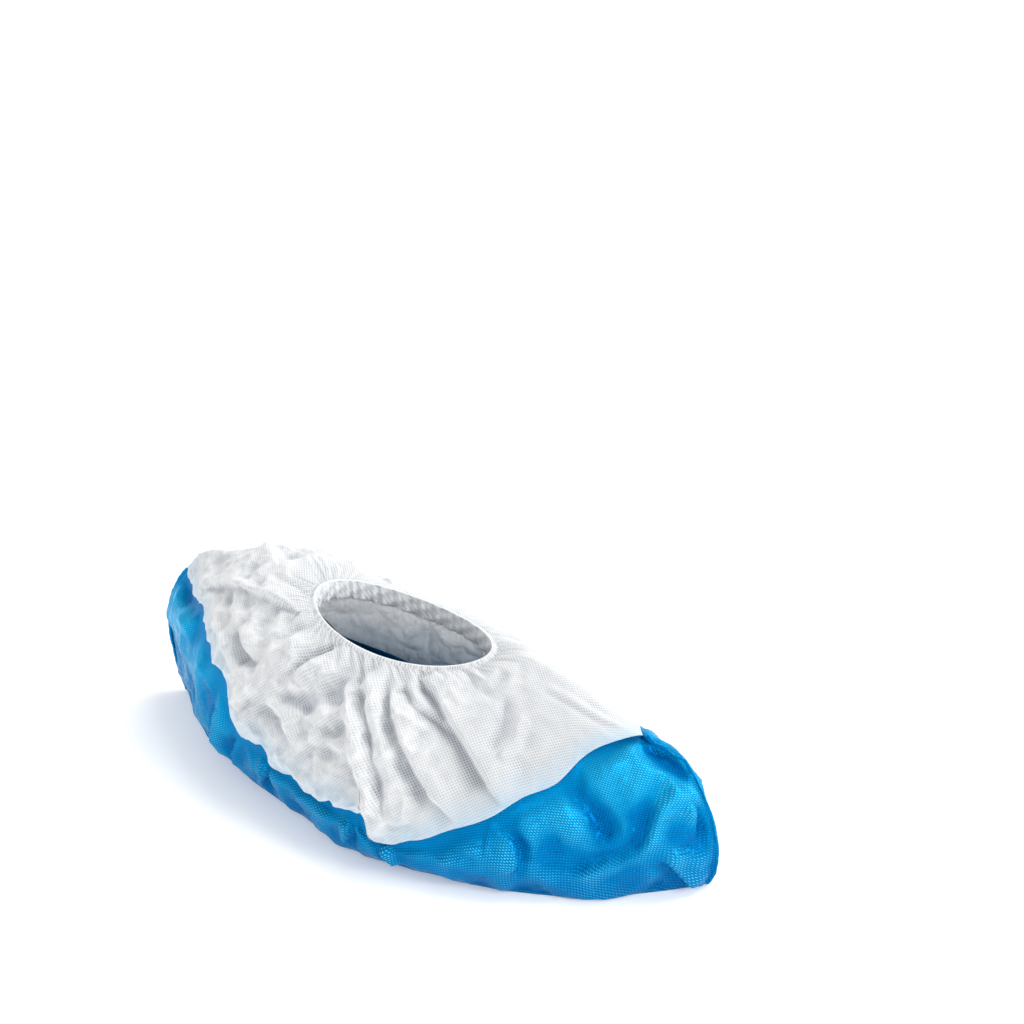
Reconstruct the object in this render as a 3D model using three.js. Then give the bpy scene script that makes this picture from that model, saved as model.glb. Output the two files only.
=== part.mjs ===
// A disposable two-layer shoe cover, empty and resting on its sole.
// An embossed film tray is lapped by a nonwoven upper, which is gathered into an elastic hem
// round the foot opening. Both sides are welded together in a pointed seam at toe and heel.
// Millimetres. +X runs to the toe, +Z is up, and the sole lies on z = 0.
import * as THREE from "three";

// Driving sizes
const LENGTH = 330.8; // from heel weld to toe weld
const HALF_WIDTH = 72.7; // at the widest bulge of a side wall
const HEIGHT = 100.6; // at the crest over the heel
const SHEET = 1.2; // wall of film and of nonwoven
const GAP = 0.35; // left between neighbouring pieces
const WELD_OUT = 2.4; // how far a weld stands out of the sides that it joins
const WELD_GAP = 0.6; // from those sides to the weld
const WELD_THICK = 1.2;
const TOE_WELD_PEAK = 2.0; // how much higher the toe weld stands at its upper end

// Foot opening, an oval that is higher at the heel end
const OPENING = {
  centreX: -1.0,
  centreY: -2.1,
  halfLength: 47.9,
  halfWidth: 27.9,
  height: 86.1,
  heelRise: 6.1,
  sideDip: 4.3,
};

// Elastic hem: a rolled edge with a band that hangs inside it
const ROLL = 1.4;
const BAND_DEPTH = 9.4;
const BAND_THICK = 1.2;
const HEM_RIPPLE = 0.35;

// The upper
const START_OUT = ROLL + GAP + 0.5 * SHEET; // from the opening's edge to where the upper begins
const START_DROP = 0.4;
const REACH_OF_HEM = 0.42; // share of the upper over which the hem draws it down
const GATHER_RISE = 0.7; // where the rays are a GATHER_PITCH apart, less where they crowd
const GATHER_PITCH = 3.5;
const RUFFLE_RISE = 1.4;
const CRUMPLE_RISE = 3.2;

// The film
const LAP_TURN = 0.1; // how far the film runs up under the upper, in turns
const LAP_TURN_AT_HEEL = -0.03; // it stops just below the upper there
const EDGE_REACH = 0.035; // half the length, in stations, over which the film keeps clear of it
const LAP_DEPTH = SHEET + 1.2; // how far it sits inside the upper's outside there
const DENT_RISE = 2.6;

// Mesh density
const RAYS_A_SIDE = 50;
const RING_SHARES = [0, 0.04, 0.1, 0.17, 0.26, 0.36, 0.47, 0.58, 0.69, 0.79, 0.88, 0.95, 1];
const FILM_STATIONS = 47;
const LAP_SHARES = [0, 0.55, 0.9];
const WALL_SHARES = [0.03, 0.16, 0.32, 0.48, 0.64, 0.8, 0.91, 1];
const SOLE_TURNS = [2.5, 3];
const WELD_STEPS = 16;

// Rows of values become rows with named columns.
const table = (columns, rows) =>
  rows.map((row) => Object.fromEntries(columns.map((name, i) => [name, row[i]])));

// Cross sections from heel (-1) to toe (1). Heights are shares of HEIGHT, half widths of
// HALF_WIDTH. The bulge is where a side is widest, and a roundness of 2 is an ellipse.
const SECTIONS = table(
  ["station", "ridge", "bulge", "bulgeHeight", "sole", "roundness"],
  [
    [-1.0, 0.855, 0.0, 0.446, 0.0, 2.03],
    [-0.9, 0.941, 0.145, 0.406, 0.13, 2.37],
    [-0.72, 1.0, 0.43, 0.361, 0.335, 2.67],
    [-0.45, 0.968, 0.744, 0.323, 0.56, 2.31],
    [-0.15, 0.905, 0.889, 0.272, 0.72, 2.03],
    [0.15, 0.884, 1.0, 0.221, 0.817, 1.74],
    [0.45, 0.874, 0.857, 0.159, 0.733, 1.53],
    [0.7, 0.797, 0.568, 0.13, 0.546, 1.51],
    [0.88, 0.636, 0.307, 0.178, 0.252, 1.86],
    [1.0, 0.58, 0.0, 0.133, 0.0, 2.38],
  ],
);

// Lower edge of the upper, by angle round the opening from the toe. A turn of 0 is the ridge,
// 1 the bulge, 2 the edge of the sole and 3 the middle of the sole. The near edge is uneven:
// it hangs lower or higher than its run by the turns in the last column.
const LOWER_EDGE = table(
  ["angle", "station", "near", "far", "hang"],
  [
    [0, 0.885, 0.0, 0.0, 0],
    [10, 0.835, 0.24, 0.25, 0],
    [24, 0.72, 0.485, 0.48, 0],
    [33, 0.66, 0.585, 0.59, 0],
    [45, 0.59, 0.645, 0.69, 0],
    [60, 0.505, 0.745, 0.79, 0],
    [77, 0.41, 0.825, 0.88, 0],
    [92, 0.315, 0.91, 0.96, 0.02],
    [106, 0.215, 0.93, 1.04, 0.145],
    [111, 0.18, 0.93, 1.06, -0.03],
    [118, 0.09, 0.94, 1.12, -0.02],
    [124, -0.03, 0.96, 1.18, 0.01],
    [130, -0.18, 0.97, 1.26, 0.02],
    [134, -0.25, 0.96, 1.28, -0.02],
    [139, -0.34, 0.95, 1.235, 0.03],
    [143, -0.385, 0.93, 1.21, 0],
    [146, -0.425, 0.8, 1.19, 0],
    [149, -0.5, 0.745, 1.15, 0],
    [155, -0.665, 0.715, 0.95, 0],
    [158.5, -0.725, 0.635, 0.86, 0],
    [162, -0.8, 0.66, 0.74, 0],
    [170, -0.93, 0.59, 0.56, 0],
    [175, -1.0, 0.4, 0.4, 0],
    [180, -1.0, 0.0, 0.0, 0],
  ],
);

// Folds of the upper run along lines of (station, turn), where a turn below zero is on the near
// side. Going along a line, seen from outside, each side has its own width and rise: where they
// differ, the cloth steps from one side to the other, and a rise below zero is a valley.
const UPPER_FOLDS = table(
  ["leftWidth", "leftRise", "rightWidth", "rightRise", "line"],
  [
    // Pleats on the near side, from the hem down, from heel to toe
    [6, 3.2, 6, 3.2, [[-0.02, -0.44], [0.04, -0.52], [0.1, -0.62], [0.16, -0.76], [0.218, -1.02]]],
    [6, -2.2, 6, -2.2, [[0.06, -0.43], [0.115, -0.55], [0.17, -0.65], [0.245, -0.83]]],
    [7, 2.6, 6, 2.6, [[0.05, -0.36], [0.106, -0.47], [0.183, -0.65], [0.254, -0.8], [0.3, -0.9]]],
    [10, 2.2, 7, -2.4, [[0.14, -0.39], [0.2, -0.507], [0.28, -0.63], [0.35, -0.727], [0.44, -0.8]]],
    [9, 1.6, 7, -1.8, [[0.19, -0.36], [0.25, -0.43], [0.34, -0.463], [0.4, -0.5]]],
    [17, 2.2, 12, -3, [[0.22, -0.32], [0.3, -0.373], [0.38, -0.47], [0.453, -0.56], [0.55, -0.73]]],
    // The large soft fold over the heel, which drops into a hollow below it
    [14, 2.2, 12, -2.6, [[-0.82, -0.66], [-0.78, -0.52], [-0.7, -0.41], [-0.52, -0.31], [-0.3, -0.28]]],
    [6, 1.6, 6, 1.6, [[-0.66, -0.4], [-0.57, -0.46], [-0.49, -0.54]]],
    [8, 1.8, 7, -2.2, [[-0.5, -0.53], [-0.395, -0.6], [-0.353, -0.603], [-0.31, -0.57]]],
    // Crumples of the heel half
    [7, 2.6, 6, 2.6, [[-0.38, -0.76], [-0.351, -0.66], [-0.318, -0.6], [-0.249, -0.43], [-0.21, -0.31]]],
    [6, 2.6, 7, 2.6, [[-0.37, -0.84], [-0.304, -0.69], [-0.237, -0.54], [-0.22, -0.44], [-0.17, -0.33]]],
    [6, -2.2, 7, 2, [[-0.165, -0.53], [-0.162, -0.463], [-0.135, -0.41], [-0.1, -0.35]]],
    [6, 2.6, 6, 2.6, [[-0.24, -0.73], [-0.175, -0.7], [-0.145, -0.71], [-0.145, -0.763], [-0.08, -0.8]]],
    [6, 2.2, 6, 2.2, [[-0.215, -0.73], [-0.232, -0.68], [-0.22, -0.633], [-0.14, -0.56]]],
    [6, 2.8, 7, 2.8, [[-0.08, -0.72], [-0.027, -0.627], [0.06, -0.53]]],
    [7, -1.6, 7, -1.6, [[-0.72, -0.33], [-0.62, -0.27], [-0.54, -0.24]]],
    // Pleats on the far side
    [7, 3, 8, 3, [[-0.78, 0.6], [-0.5, 0.36], [-0.33, 0.23]]],
    [8, 2.4, 7, -2.4, [[-0.5, 0.8], [-0.33, 0.5], [-0.22, 0.3]]],
    [8, 2.8, 8, 2.8, [[-0.24, 1.0], [-0.16, 0.65], [-0.12, 0.36]]],
    [8, 2.4, 8, -2.2, [[0.02, 1.08], [0.0, 0.75], [-0.02, 0.4]]],
    [8, 2.8, 8, 2.8, [[0.2, 0.98], [0.12, 0.66], [0.06, 0.4]]],
    [8, 2.2, 8, -2.4, [[0.4, 0.84], [0.27, 0.56], [0.18, 0.38]]],
    [8, 2.2, 8, 2.2, [[0.58, 0.64], [0.4, 0.44], [0.28, 0.32]]],
  ],
);

// Round hollows of the upper, by place, radius and depth
const UPPER_HOLLOWS = table(
  ["station", "turn", "radius", "depth"],
  [
    [-0.57, -0.46, 8, 1.6],
    [-0.42, -0.38, 9, 1.8],
    [-0.6, -0.72, 8, 1.2],
    [-0.42, -0.64, 7, 2],
    [-0.184, -0.64, 7, 3],
    [-0.03, -0.51, 7, 2.8],
    [-0.21, -0.8, 8, 2.2],
    [0.01, -0.65, 7, 2.6],
  ],
);

// Creases of the film run straight from one place to another. The half width grows along them.
const CREASE_COLUMNS = ["station", "turn", "toStation", "toTurn", "width", "toWidth", "rise"];
const FILM_CREASES = table(CREASE_COLUMNS, [
  [0.48, -0.78, 0.56, -0.77, 8, 7, -1.8],
  [0.56, -0.77, 0.57, -1.0, 7, 6, -3.0],
  [0.5, -0.9, 0.53, -1.2, 9, 9, 2.4],
  [0.67, -0.6, 0.77, -0.75, 8, 9, -2.6],
  [0.63, -0.75, 0.72, -0.9, 10, 10, 2.6],
  [0.92, -0.5, 0.87, -0.85, 7, 8, -3.0],
  [0.86, -0.86, 0.74, -0.95, 7, 8, -2.8],
  [0.84, -0.5, 0.82, -0.78, 10, 10, 2.6],
  [0.9, -0.95, 0.93, -1.2, 8, 8, 2.4],
  [0.95, -0.6, 0.965, -0.8, 5, 5, -2.2],
  [0.925, -1.2, 0.95, -1.6, 5, 5, -1.8],
  [-0.875, -0.71, -0.72, -0.68, 6, 7, -3.0],
  [-0.55, -1.05, -0.56, -1.6, 7, 6, 2.4],
  [-0.24, -1.05, -0.29, -1.5, 6, 6, -2.2],
  [0.11, -1.05, 0.115, -1.4, 6, 5, -2.4],
  [0.22, -1.2, 0.26, -1.7, 6, 5, -2.4],
  [0.6, 0.75, 0.64, 1.05, 8, 8, -2.4],
  [0.78, 0.5, 0.84, 0.8, 8, 9, -2.6],
  [0.86, 0.86, 0.72, 0.95, 7, 8, 2.6],
  [-0.85, 0.8, -0.7, 0.78, 7, 7, -2.8],
  [-0.45, 1.1, -0.5, 1.6, 6, 6, -2.2],
  [0.0, 1.1, 0.02, 1.5, 6, 6, -2.2],
]);

// Small maths
const clamp = (v, lo, hi) => Math.min(Math.max(v, lo), hi);
const mix = (a, b, t) => a + (b - a) * t;
const smooth = (from, to, v) => {
  const t = clamp((v - from) / (to - from), 0, 1);
  return t * t * (3 - 2 * t);
};
const radians = (degrees) => (degrees * Math.PI) / 180;

// A curve through the rows of a table that never overshoots them.
function curve(rows, across, along) {
  const x = rows.map((row) => row[across]);
  const y = rows.map((row) => row[along]);
  const last = x.length - 1;
  const span = x.slice(1).map((v, i) => v - x[i]);
  const rate = y.slice(1).map((v, i) => (v - y[i]) / span[i]);
  const slope = x.map((_, i) => {
    if (i === 0) return endSlope(span[0], span[1], rate[0], rate[1]);
    if (i === last) {
      return endSlope(span[last - 1], span[last - 2], rate[last - 1], rate[last - 2]);
    }
    if (rate[i - 1] * rate[i] <= 0) return 0;
    const before = 2 * span[i] + span[i - 1];
    const after = span[i] + 2 * span[i - 1];
    return (before + after) / (before / rate[i - 1] + after / rate[i]);
  });
  return (at) => {
    const v = clamp(at, x[0], x[last]);
    const i = clamp(x.findIndex((knot) => knot > v) - 1, 0, last - 1);
    const k = v >= x[last] ? last - 1 : i;
    const t = (v - x[k]) / span[k];
    const rise = (3 - 2 * t) * t * t;
    return (
      mix(y[k], y[k + 1], rise) +
      span[k] * (slope[k] * t * (1 - t) * (1 - t) - slope[k + 1] * t * t * (1 - t))
    );
  };
}

function endSlope(span, nextSpan, rate, nextRate) {
  const slope = ((2 * span + nextSpan) * rate - span * nextRate) / (span + nextSpan);
  if (slope * rate <= 0) return 0;
  if (rate * nextRate <= 0 && Math.abs(slope) > 3 * Math.abs(rate)) return 3 * rate;
  return slope;
}

const ridge = curve(SECTIONS, "station", "ridge");
const bulge = curve(SECTIONS, "station", "bulge");
const bulgeHeight = curve(SECTIONS, "station", "bulgeHeight");
const sole = curve(SECTIONS, "station", "sole");
const roundness = curve(SECTIONS, "station", "roundness");
const edgeStation = curve(LOWER_EDGE, "angle", "station");
const edgeNear = curve(LOWER_EDGE, "angle", "near");
const edgeFar = curve(LOWER_EDGE, "angle", "far");
const edgeHang = curve(LOWER_EDGE, "angle", "hang");
const TIP_STATION = LOWER_EDGE[0].station;
const rowsByStation = LOWER_EDGE.filter((row) => row.angle < 178).reverse();
const edgeTurnNear = curve(rowsByStation, "station", "near");
const edgeHangNear = curve(rowsByStation, "station", "hang");
const edgeTurnFar = curve(rowsByStation, "station", "far");

// Where the sides meet at each end, by height: the toe leans back over its foremost point,
// and the heel leans forward over its own.
const TOE_POINT_HEIGHT = 13.4;
const HEEL_POINT_HEIGHT = 39.3;
function endX(station, z) {
  if (station > 0) {
    const above = z - TOE_POINT_HEIGHT;
    const back = above > 0 ? 18.6 * (above / 46.5) ** 2 : 4.1 * (above / TOE_POINT_HEIGHT) ** 2;
    return LENGTH / 2 - WELD_OUT - back;
  }
  const above = z - HEEL_POINT_HEIGHT;
  const back = above > 0 ? 19.6 : 8.3;
  return LENGTH / 2 - WELD_OUT - back * (above / HEEL_POINT_HEIGHT) ** 2;
}

// The smooth form that film and upper share, by station and turn.
function form(station, turn) {
  const around = Math.abs(turn);
  const side = Math.sign(turn);
  const top = ridge(station) * HEIGHT;
  const middle = bulgeHeight(station) * HEIGHT;
  const wide = bulge(station) * HALF_WIDTH;
  const flat = sole(station) * HALF_WIDTH;
  let y = flat * (3 - around);
  let z = 0;
  if (around <= 1) {
    const power = 2 / roundness(station);
    const angle = (around * Math.PI) / 2;
    y = wide * Math.sin(angle) ** power;
    z = mix(middle, top, Math.max(Math.cos(angle), 0) ** power);
  } else if (around <= 2) {
    const angle = ((around - 1) * Math.PI) / 2;
    y = mix(flat, wide, Math.cos(angle));
    z = middle * (1 - Math.sin(angle));
  }
  return new THREE.Vector3(station * endX(station, z), side * y, z);
}

// The station and turn of the form's top above a place in plan.
function placeAbove(x, y) {
  let station = x / (LENGTH / 2);
  let turn = 0;
  for (let i = 0; i < 4; i += 1) {
    const share = Math.abs(y) / (bulge(station) * HALF_WIDTH);
    turn = (Math.asin(share ** (roundness(station) / 2)) * 2) / Math.PI;
    station = x / endX(Math.sign(x), form(station, turn).z);
  }
  return { station, turn: Math.sign(y) * turn };
}

// The edge of the opening, and the level direction out of it, by angle from the toe.
function opening(angle) {
  const c = Math.cos(angle);
  const s = Math.sin(angle);
  const at = new THREE.Vector3(
    OPENING.centreX + OPENING.halfLength * c,
    OPENING.centreY + OPENING.halfWidth * s,
    OPENING.height - OPENING.heelRise * c - OPENING.sideDip * s * s,
  );
  const out = new THREE.Vector3(c / OPENING.halfLength, s / OPENING.halfWidth, 0).normalize();
  return { at, out };
}

// A repeatable random share for a cell of a lattice.
function random(i, j) {
  const v = Math.sin(i * 127.1 + j * 311.7) * 43758.5453;
  return v - Math.floor(v);
}

// Crumpling in flat facets: random heights on a lattice of triangles, straight between them.
// The result runs from -0.5 to 0.5.
function facets(u, v) {
  const skew = (u + v) * 0.366;
  const i = Math.floor(u + skew);
  const j = Math.floor(v + skew);
  const a = u + skew - i;
  const b = v + skew - j;
  const near = random(i, j);
  const far = random(i + 1, j + 1);
  const height =
    a > b
      ? near * (1 - a) + random(i + 1, j) * (a - b) + far * b
      : near * (1 - b) + random(i, j + 1) * (b - a) + far * a;
  return height - 0.5;
}

// Facets on the form, laid out roughly as the sheet would lie flat.
function crumple(at, size) {
  const around = Math.sign(at.y) * (Math.abs(at.y) + HEIGHT - at.z) * 0.8;
  return facets(at.x / size, around / size + 50);
}

// The rise of the film's creases at a place. Each is a straight crest that fades sideways.
const filmCreases = FILM_CREASES.map((crease) => {
  const from = form(crease.station, crease.turn);
  const along = form(crease.toStation, crease.toTurn).sub(from);
  return { ...crease, from, along };
});
function creaseRise(at) {
  let rise = 0;
  for (const crease of filmCreases) {
    const offset = at.clone().sub(crease.from);
    const share = clamp(offset.dot(crease.along) / crease.along.lengthSq(), 0, 1);
    const away = offset.addScaledVector(crease.along, -share).length();
    const width = mix(crease.width, crease.toWidth, share);
    rise += crease.rise * Math.max(0, 1 - away / width);
  }
  return rise;
}

// The way out of the form at a place, near enough to tell one side of a fold from the other.
function wayOut(station, turn) {
  const across = form(station, turn + 0.01).sub(form(station, turn - 0.01));
  const along = form(station + 0.01, turn).sub(form(station - 0.01, turn));
  return along.cross(across).normalize();
}

// The rise of the upper's folds and hollows at a place. A fold fades out at both its ends.
const upperFolds = UPPER_FOLDS.map((fold) => {
  const line = fold.line.map(([station, turn]) => form(station, turn));
  const spans = line.slice(1).map((at, k) => at.distanceTo(line[k]));
  return { ...fold, line, spans, length: spans.reduce((sum, span) => sum + span, 0) };
});
const upperHollows = UPPER_HOLLOWS.map((hollow) => ({ ...hollow, at: form(hollow.station, hollow.turn) }));
function foldRise(at, out) {
  let rise = 0;
  for (const fold of upperFolds) {
    let nearest = { away: Infinity };
    let passed = 0;
    fold.spans.forEach((span, k) => {
      const along = fold.line[k + 1].clone().sub(fold.line[k]).normalize();
      const offset = at.clone().sub(fold.line[k]);
      const run = clamp(offset.dot(along), 0, span);
      offset.addScaledVector(along, -run);
      const away = offset.length();
      if (away < nearest.away) {
        const onLeft = along.clone().cross(offset).dot(out) > 0;
        nearest = { away, onLeft, share: (passed + run) / fold.length };
      }
      passed += span;
    });
    const side = nearest.onLeft ? [fold.leftWidth, fold.leftRise] : [fold.rightWidth, fold.rightRise];
    const ends = smooth(0, 0.12, nearest.share) * smooth(0, 0.12, 1 - nearest.share);
    rise += side[1] * Math.max(0, 1 - nearest.away / side[0]) * ends;
  }
  for (const hollow of upperHollows) {
    rise -= hollow.depth * Math.exp(-((at.distanceTo(hollow.at) / hollow.radius) ** 2));
  }
  return rise;
}

// An open sheet under construction: points that share a place are one point.
class Sheet {
  points = [];
  offsets = [];
  faces = [];
  found = new Map();

  // Adds a point, with how far it is to be moved out of the sheet, and returns its number.
  add(at, offset) {
    const key = [at.x, at.y, at.z].map((v) => Math.round(v * 200)).join();
    if (!this.found.has(key)) {
      this.found.set(key, this.points.length);
      this.points.push(at);
      this.offsets.push(offset);
    }
    return this.found.get(key);
  }

  // Adds the two triangles of a cell whose corners go round it.
  cell(a, b, c, d) {
    for (const face of [[a, b, c], [a, c, d]]) {
      if (new Set(face).size === 3) this.faces.push(face);
    }
  }
}

// The way out at each point, long enough that flat faces shift by one unit.
function waysOut(points, faces) {
  const sums = points.map(() => new THREE.Vector3());
  const normals = faces.map(([a, b, c]) => {
    const ab = points[b].clone().sub(points[a]);
    const ac = points[c].clone().sub(points[a]);
    return ab.cross(ac);
  });
  faces.forEach((face, f) => face.forEach((p) => sums[p].add(normals[f])));
  const means = sums.map((sum) => sum.clone().normalize());
  const leans = points.map(() => ({ total: 0, area: 0 }));
  faces.forEach((face, f) => {
    const area = normals[f].length();
    for (const p of face) {
      leans[p].total += means[p].dot(normals[f]);
      leans[p].area += area;
    }
  });
  return means.map((mean, p) => {
    const lean = clamp(leans[p].total / Math.max(leans[p].area, 1e-9), 0.55, 1);
    return mean.multiplyScalar(1 / lean);
  });
}

// A closed wall: the sheet moved out by its offsets, its inside, and a rim round every edge.
function wall(sheet, thickness, floor) {
  const shift = waysOut(sheet.points, sheet.faces);
  const outside = sheet.points.map((at, p) => at.clone().addScaledVector(shift[p], sheet.offsets[p]));
  outside.forEach((at) => at.setZ(Math.max(at.z, floor)));
  const inward = waysOut(outside, sheet.faces);
  const inside = outside.map((at, p) => at.clone().addScaledVector(inward[p], -thickness));
  inside.forEach((at) => at.setZ(Math.max(at.z, floor + thickness)));
  const count = outside.length;
  const faces = [];
  const borders = new Map();
  for (const [a, b, c] of sheet.faces) {
    faces.push([a, b, c], [a + count, c + count, b + count]);
    for (const [from, to] of [[a, b], [b, c], [c, a]]) {
      if (!borders.delete(`${to},${from}`)) borders.set(`${from},${to}`, [from, to]);
    }
  }
  for (const [from, to] of borders.values()) {
    faces.push([to, from, from + count], [to, from + count, to + count]);
  }
  return solid([...outside, ...inside], faces);
}

function solid(points, faces) {
  const geometry = new THREE.BufferGeometry();
  const values = points.flatMap((at) => at.toArray());
  geometry.setAttribute("position", new THREE.Float32BufferAttribute(values, 3));
  geometry.setIndex(faces.flat());
  return geometry;
}

// Angles of the rays from the opening to the upper's lower edge, from toe to heel on one side.
// They share out the lengths of both edges evenly.
function rayAngles() {
  const step = 0.5;
  const measure = [{ angle: 0, length: 0 }];
  for (let angle = step; angle <= 180; angle += step) {
    const low = form(edgeStation(angle), -edgeNear(angle));
    const high = opening(radians(angle)).at;
    const before = form(edgeStation(angle - step), -edgeNear(angle - step));
    const length = low.distanceTo(before) + high.distanceTo(opening(radians(angle - step)).at);
    measure.push({ angle, length: measure.at(-1).length + length });
  }
  const angleAt = curve(measure, "length", "angle");
  const whole = measure.at(-1).length;
  return Array.from({ length: RAYS_A_SIDE + 1 }, (_, i) => angleAt((whole * i) / RAYS_A_SIDE));
}
const sideAngles = rayAngles();
const ALL_ANGLES = [
  ...sideAngles.slice(1).reverse().map((angle) => -angle),
  ...sideAngles.slice(0, -1),
];

// How far the upper stands out of the form: gathers at the hem, folds, crumples, and a ruffle
// along the lower edge that leaves the lap with the film clear.
function upperOffset(at, out, share, ray) {
  const [before, after] = [ALL_ANGLES.at(ray - 1), ALL_ANGLES[(ray + 1) % ALL_ANGLES.length]];
  const apart = (radians(Math.abs(after - before) % 350) / 2) * OPENING.halfWidth;
  const drawn = (ray % 2 ? 1 : -1) * Math.min(1, apart / GATHER_PITCH) * GATHER_RISE;
  const gather = drawn * smooth(0, 0.1, share) * (1 - smooth(0.12, 0.4, share));
  const spread = smooth(0.06, 0.3, share);
  const calm = 1 - 0.75 * smooth(60, 100, at.x);
  const rough = CRUMPLE_RISE * crumple(at, 15) * spread * calm;
  const folds = foldRise(at, out) * smooth(0, 0.08, share);
  const ruffle = RUFFLE_RISE * (0.35 + crumple(at, 7)) * smooth(0.85, 1, share) * calm;
  const lowest = mix(-4.5, -0.2, smooth(0.62, 0.76, share));
  return Math.max(gather + rough + folds + ruffle, lowest);
}

function upperSheet() {
  const sheet = new Sheet();
  const rays = ALL_ANGLES.map((degrees, ray) => {
    const { at, out } = opening(radians(degrees));
    const start = at.clone().addScaledVector(out, START_OUT).setZ(at.z - START_DROP);
    const place = placeAbove(start.x, start.y);
    const draw = start.clone().sub(form(place.station, place.turn));
    const low = Math.abs(degrees);
    const endTurn = degrees < 0 ? -edgeNear(low) : edgeFar(low);
    const hang = degrees < 0 ? -edgeHang(low) : 0;
    return RING_SHARES.map((share) => {
      const station = mix(place.station, edgeStation(low), 1 - (1 - share) ** 1.5);
      const turn = mix(place.turn, endTurn, share) + hang * smooth(0.6, 1, share);
      const point = form(station, turn);
      const pull = Math.max(0, 1 - share / REACH_OF_HEM) ** 2;
      point.addScaledVector(draw, pull);
      return sheet.add(point, upperOffset(point, wayOut(station, turn), share, ray));
    });
  });
  rays.forEach((ray, i) => {
    const next = rays[(i + 1) % rays.length];
    for (let k = 1; k < ray.length; k += 1) {
      sheet.cell(ray[k - 1], ray[k], next[k], next[k - 1]);
    }
  });
  return sheet;
}

// The turn down to which the upper covers the film.
function coveredTurn(station, side) {
  if (station >= TIP_STATION) return 0;
  const reach = station < 0.5 ? EDGE_REACH : 0;
  const covers = (at) => (side < 0 ? edgeTurnNear(at) + edgeHangNear(at) : edgeTurnFar(at));
  return Math.max(covers(station - reach), covers(station), covers(station + reach));
}

// How far the film stands out of the form: set in under the upper, folded and dented below it,
// and plain along the welds and the sole.
function filmOffset(at, station, turn, edgeTurn) {
  const below = Math.max(turn - edgeTurn, (station - TIP_STATION) * 3);
  const free = smooth(0.01, 0.16, below);
  const beside = station > TIP_STATION ? smooth(0, 0.15, turn) : 1;
  const plain = smooth(1.55, 1.95, turn);
  const loose = free * beside * (1 - plain) * smooth(0, 0.03, 1 - Math.abs(station));
  const dents = creaseRise(at) + DENT_RISE * crumple(at, 19);
  const depth = LAP_DEPTH * smooth(-0.95, -0.82, station);
  return loose * dents - depth * (1 - free);
}

function filmSheet() {
  const sheet = new Sheet();
  const columnOf = (station, side) => {
    const edgeTurn = coveredTurn(station, side);
    const lap = mix(LAP_TURN_AT_HEEL, LAP_TURN, smooth(-0.92, -0.7, station));
    const top = Math.max(0, edgeTurn - lap);
    const lapEnd = Math.max(top, edgeTurn);
    const turns = [
      ...LAP_SHARES.map((share) => mix(top, lapEnd, share)),
      ...WALL_SHARES.map((share) => mix(lapEnd, 2, share)),
      ...SOLE_TURNS,
    ];
    return turns.map((turn) => {
      const at = form(station, side * turn);
      return sheet.add(at, filmOffset(at, station, turn, edgeTurn));
    });
  };
  const stations = Array.from({ length: FILM_STATIONS }, (_, i) => {
    const even = (2 * i) / (FILM_STATIONS - 1) - 1;
    return even * 0.85 + Math.sin((even * Math.PI) / 2) * 0.15;
  });
  for (const side of [-1, 1]) {
    const columns = stations.map((station) => columnOf(station, side));
    for (let i = 1; i < columns.length; i += 1) {
      const [a, b] = side < 0 ? [columns[i - 1], columns[i]] : [columns[i], columns[i - 1]];
      for (let k = 1; k < a.length; k += 1) sheet.cell(a[k - 1], a[k], b[k], b[k - 1]);
    }
  }
  return sheet;
}

// The elastic hem: its section, out of the opening and up, carried round the edge. Every second
// ray is drawn in a little by the elastic.
function hem() {
  const outline = [
    [-1.1, 0.1],
    [0, 0.9],
    [1.0, 0.4],
    [ROLL, -0.8],
    [0.6, -2.1],
    [BAND_THICK / 2, -BAND_DEPTH],
    [-BAND_THICK / 2, -BAND_DEPTH],
    [-0.9, -2.4],
  ];
  const points = [];
  const faces = [];
  const around = ALL_ANGLES.length;
  ALL_ANGLES.forEach((degrees, ray) => {
    const { at, out } = opening(radians(degrees));
    const ripple = ray % 2 ? 0 : -HEM_RIPPLE;
    for (const [away, up] of outline) {
      const point = at.clone().addScaledVector(out, away + ripple);
      points.push(point.setZ(at.z + up));
    }
  });
  for (let i = 0; i < around; i += 1) {
    const here = i * outline.length;
    const next = ((i + 1) % around) * outline.length;
    outline.forEach((_, k) => {
      const m = (k + 1) % outline.length;
      faces.push([here + k, here + m, next + m], [here + k, next + m, next + k]);
    });
  }
  return solid(points, faces);
}

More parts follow.
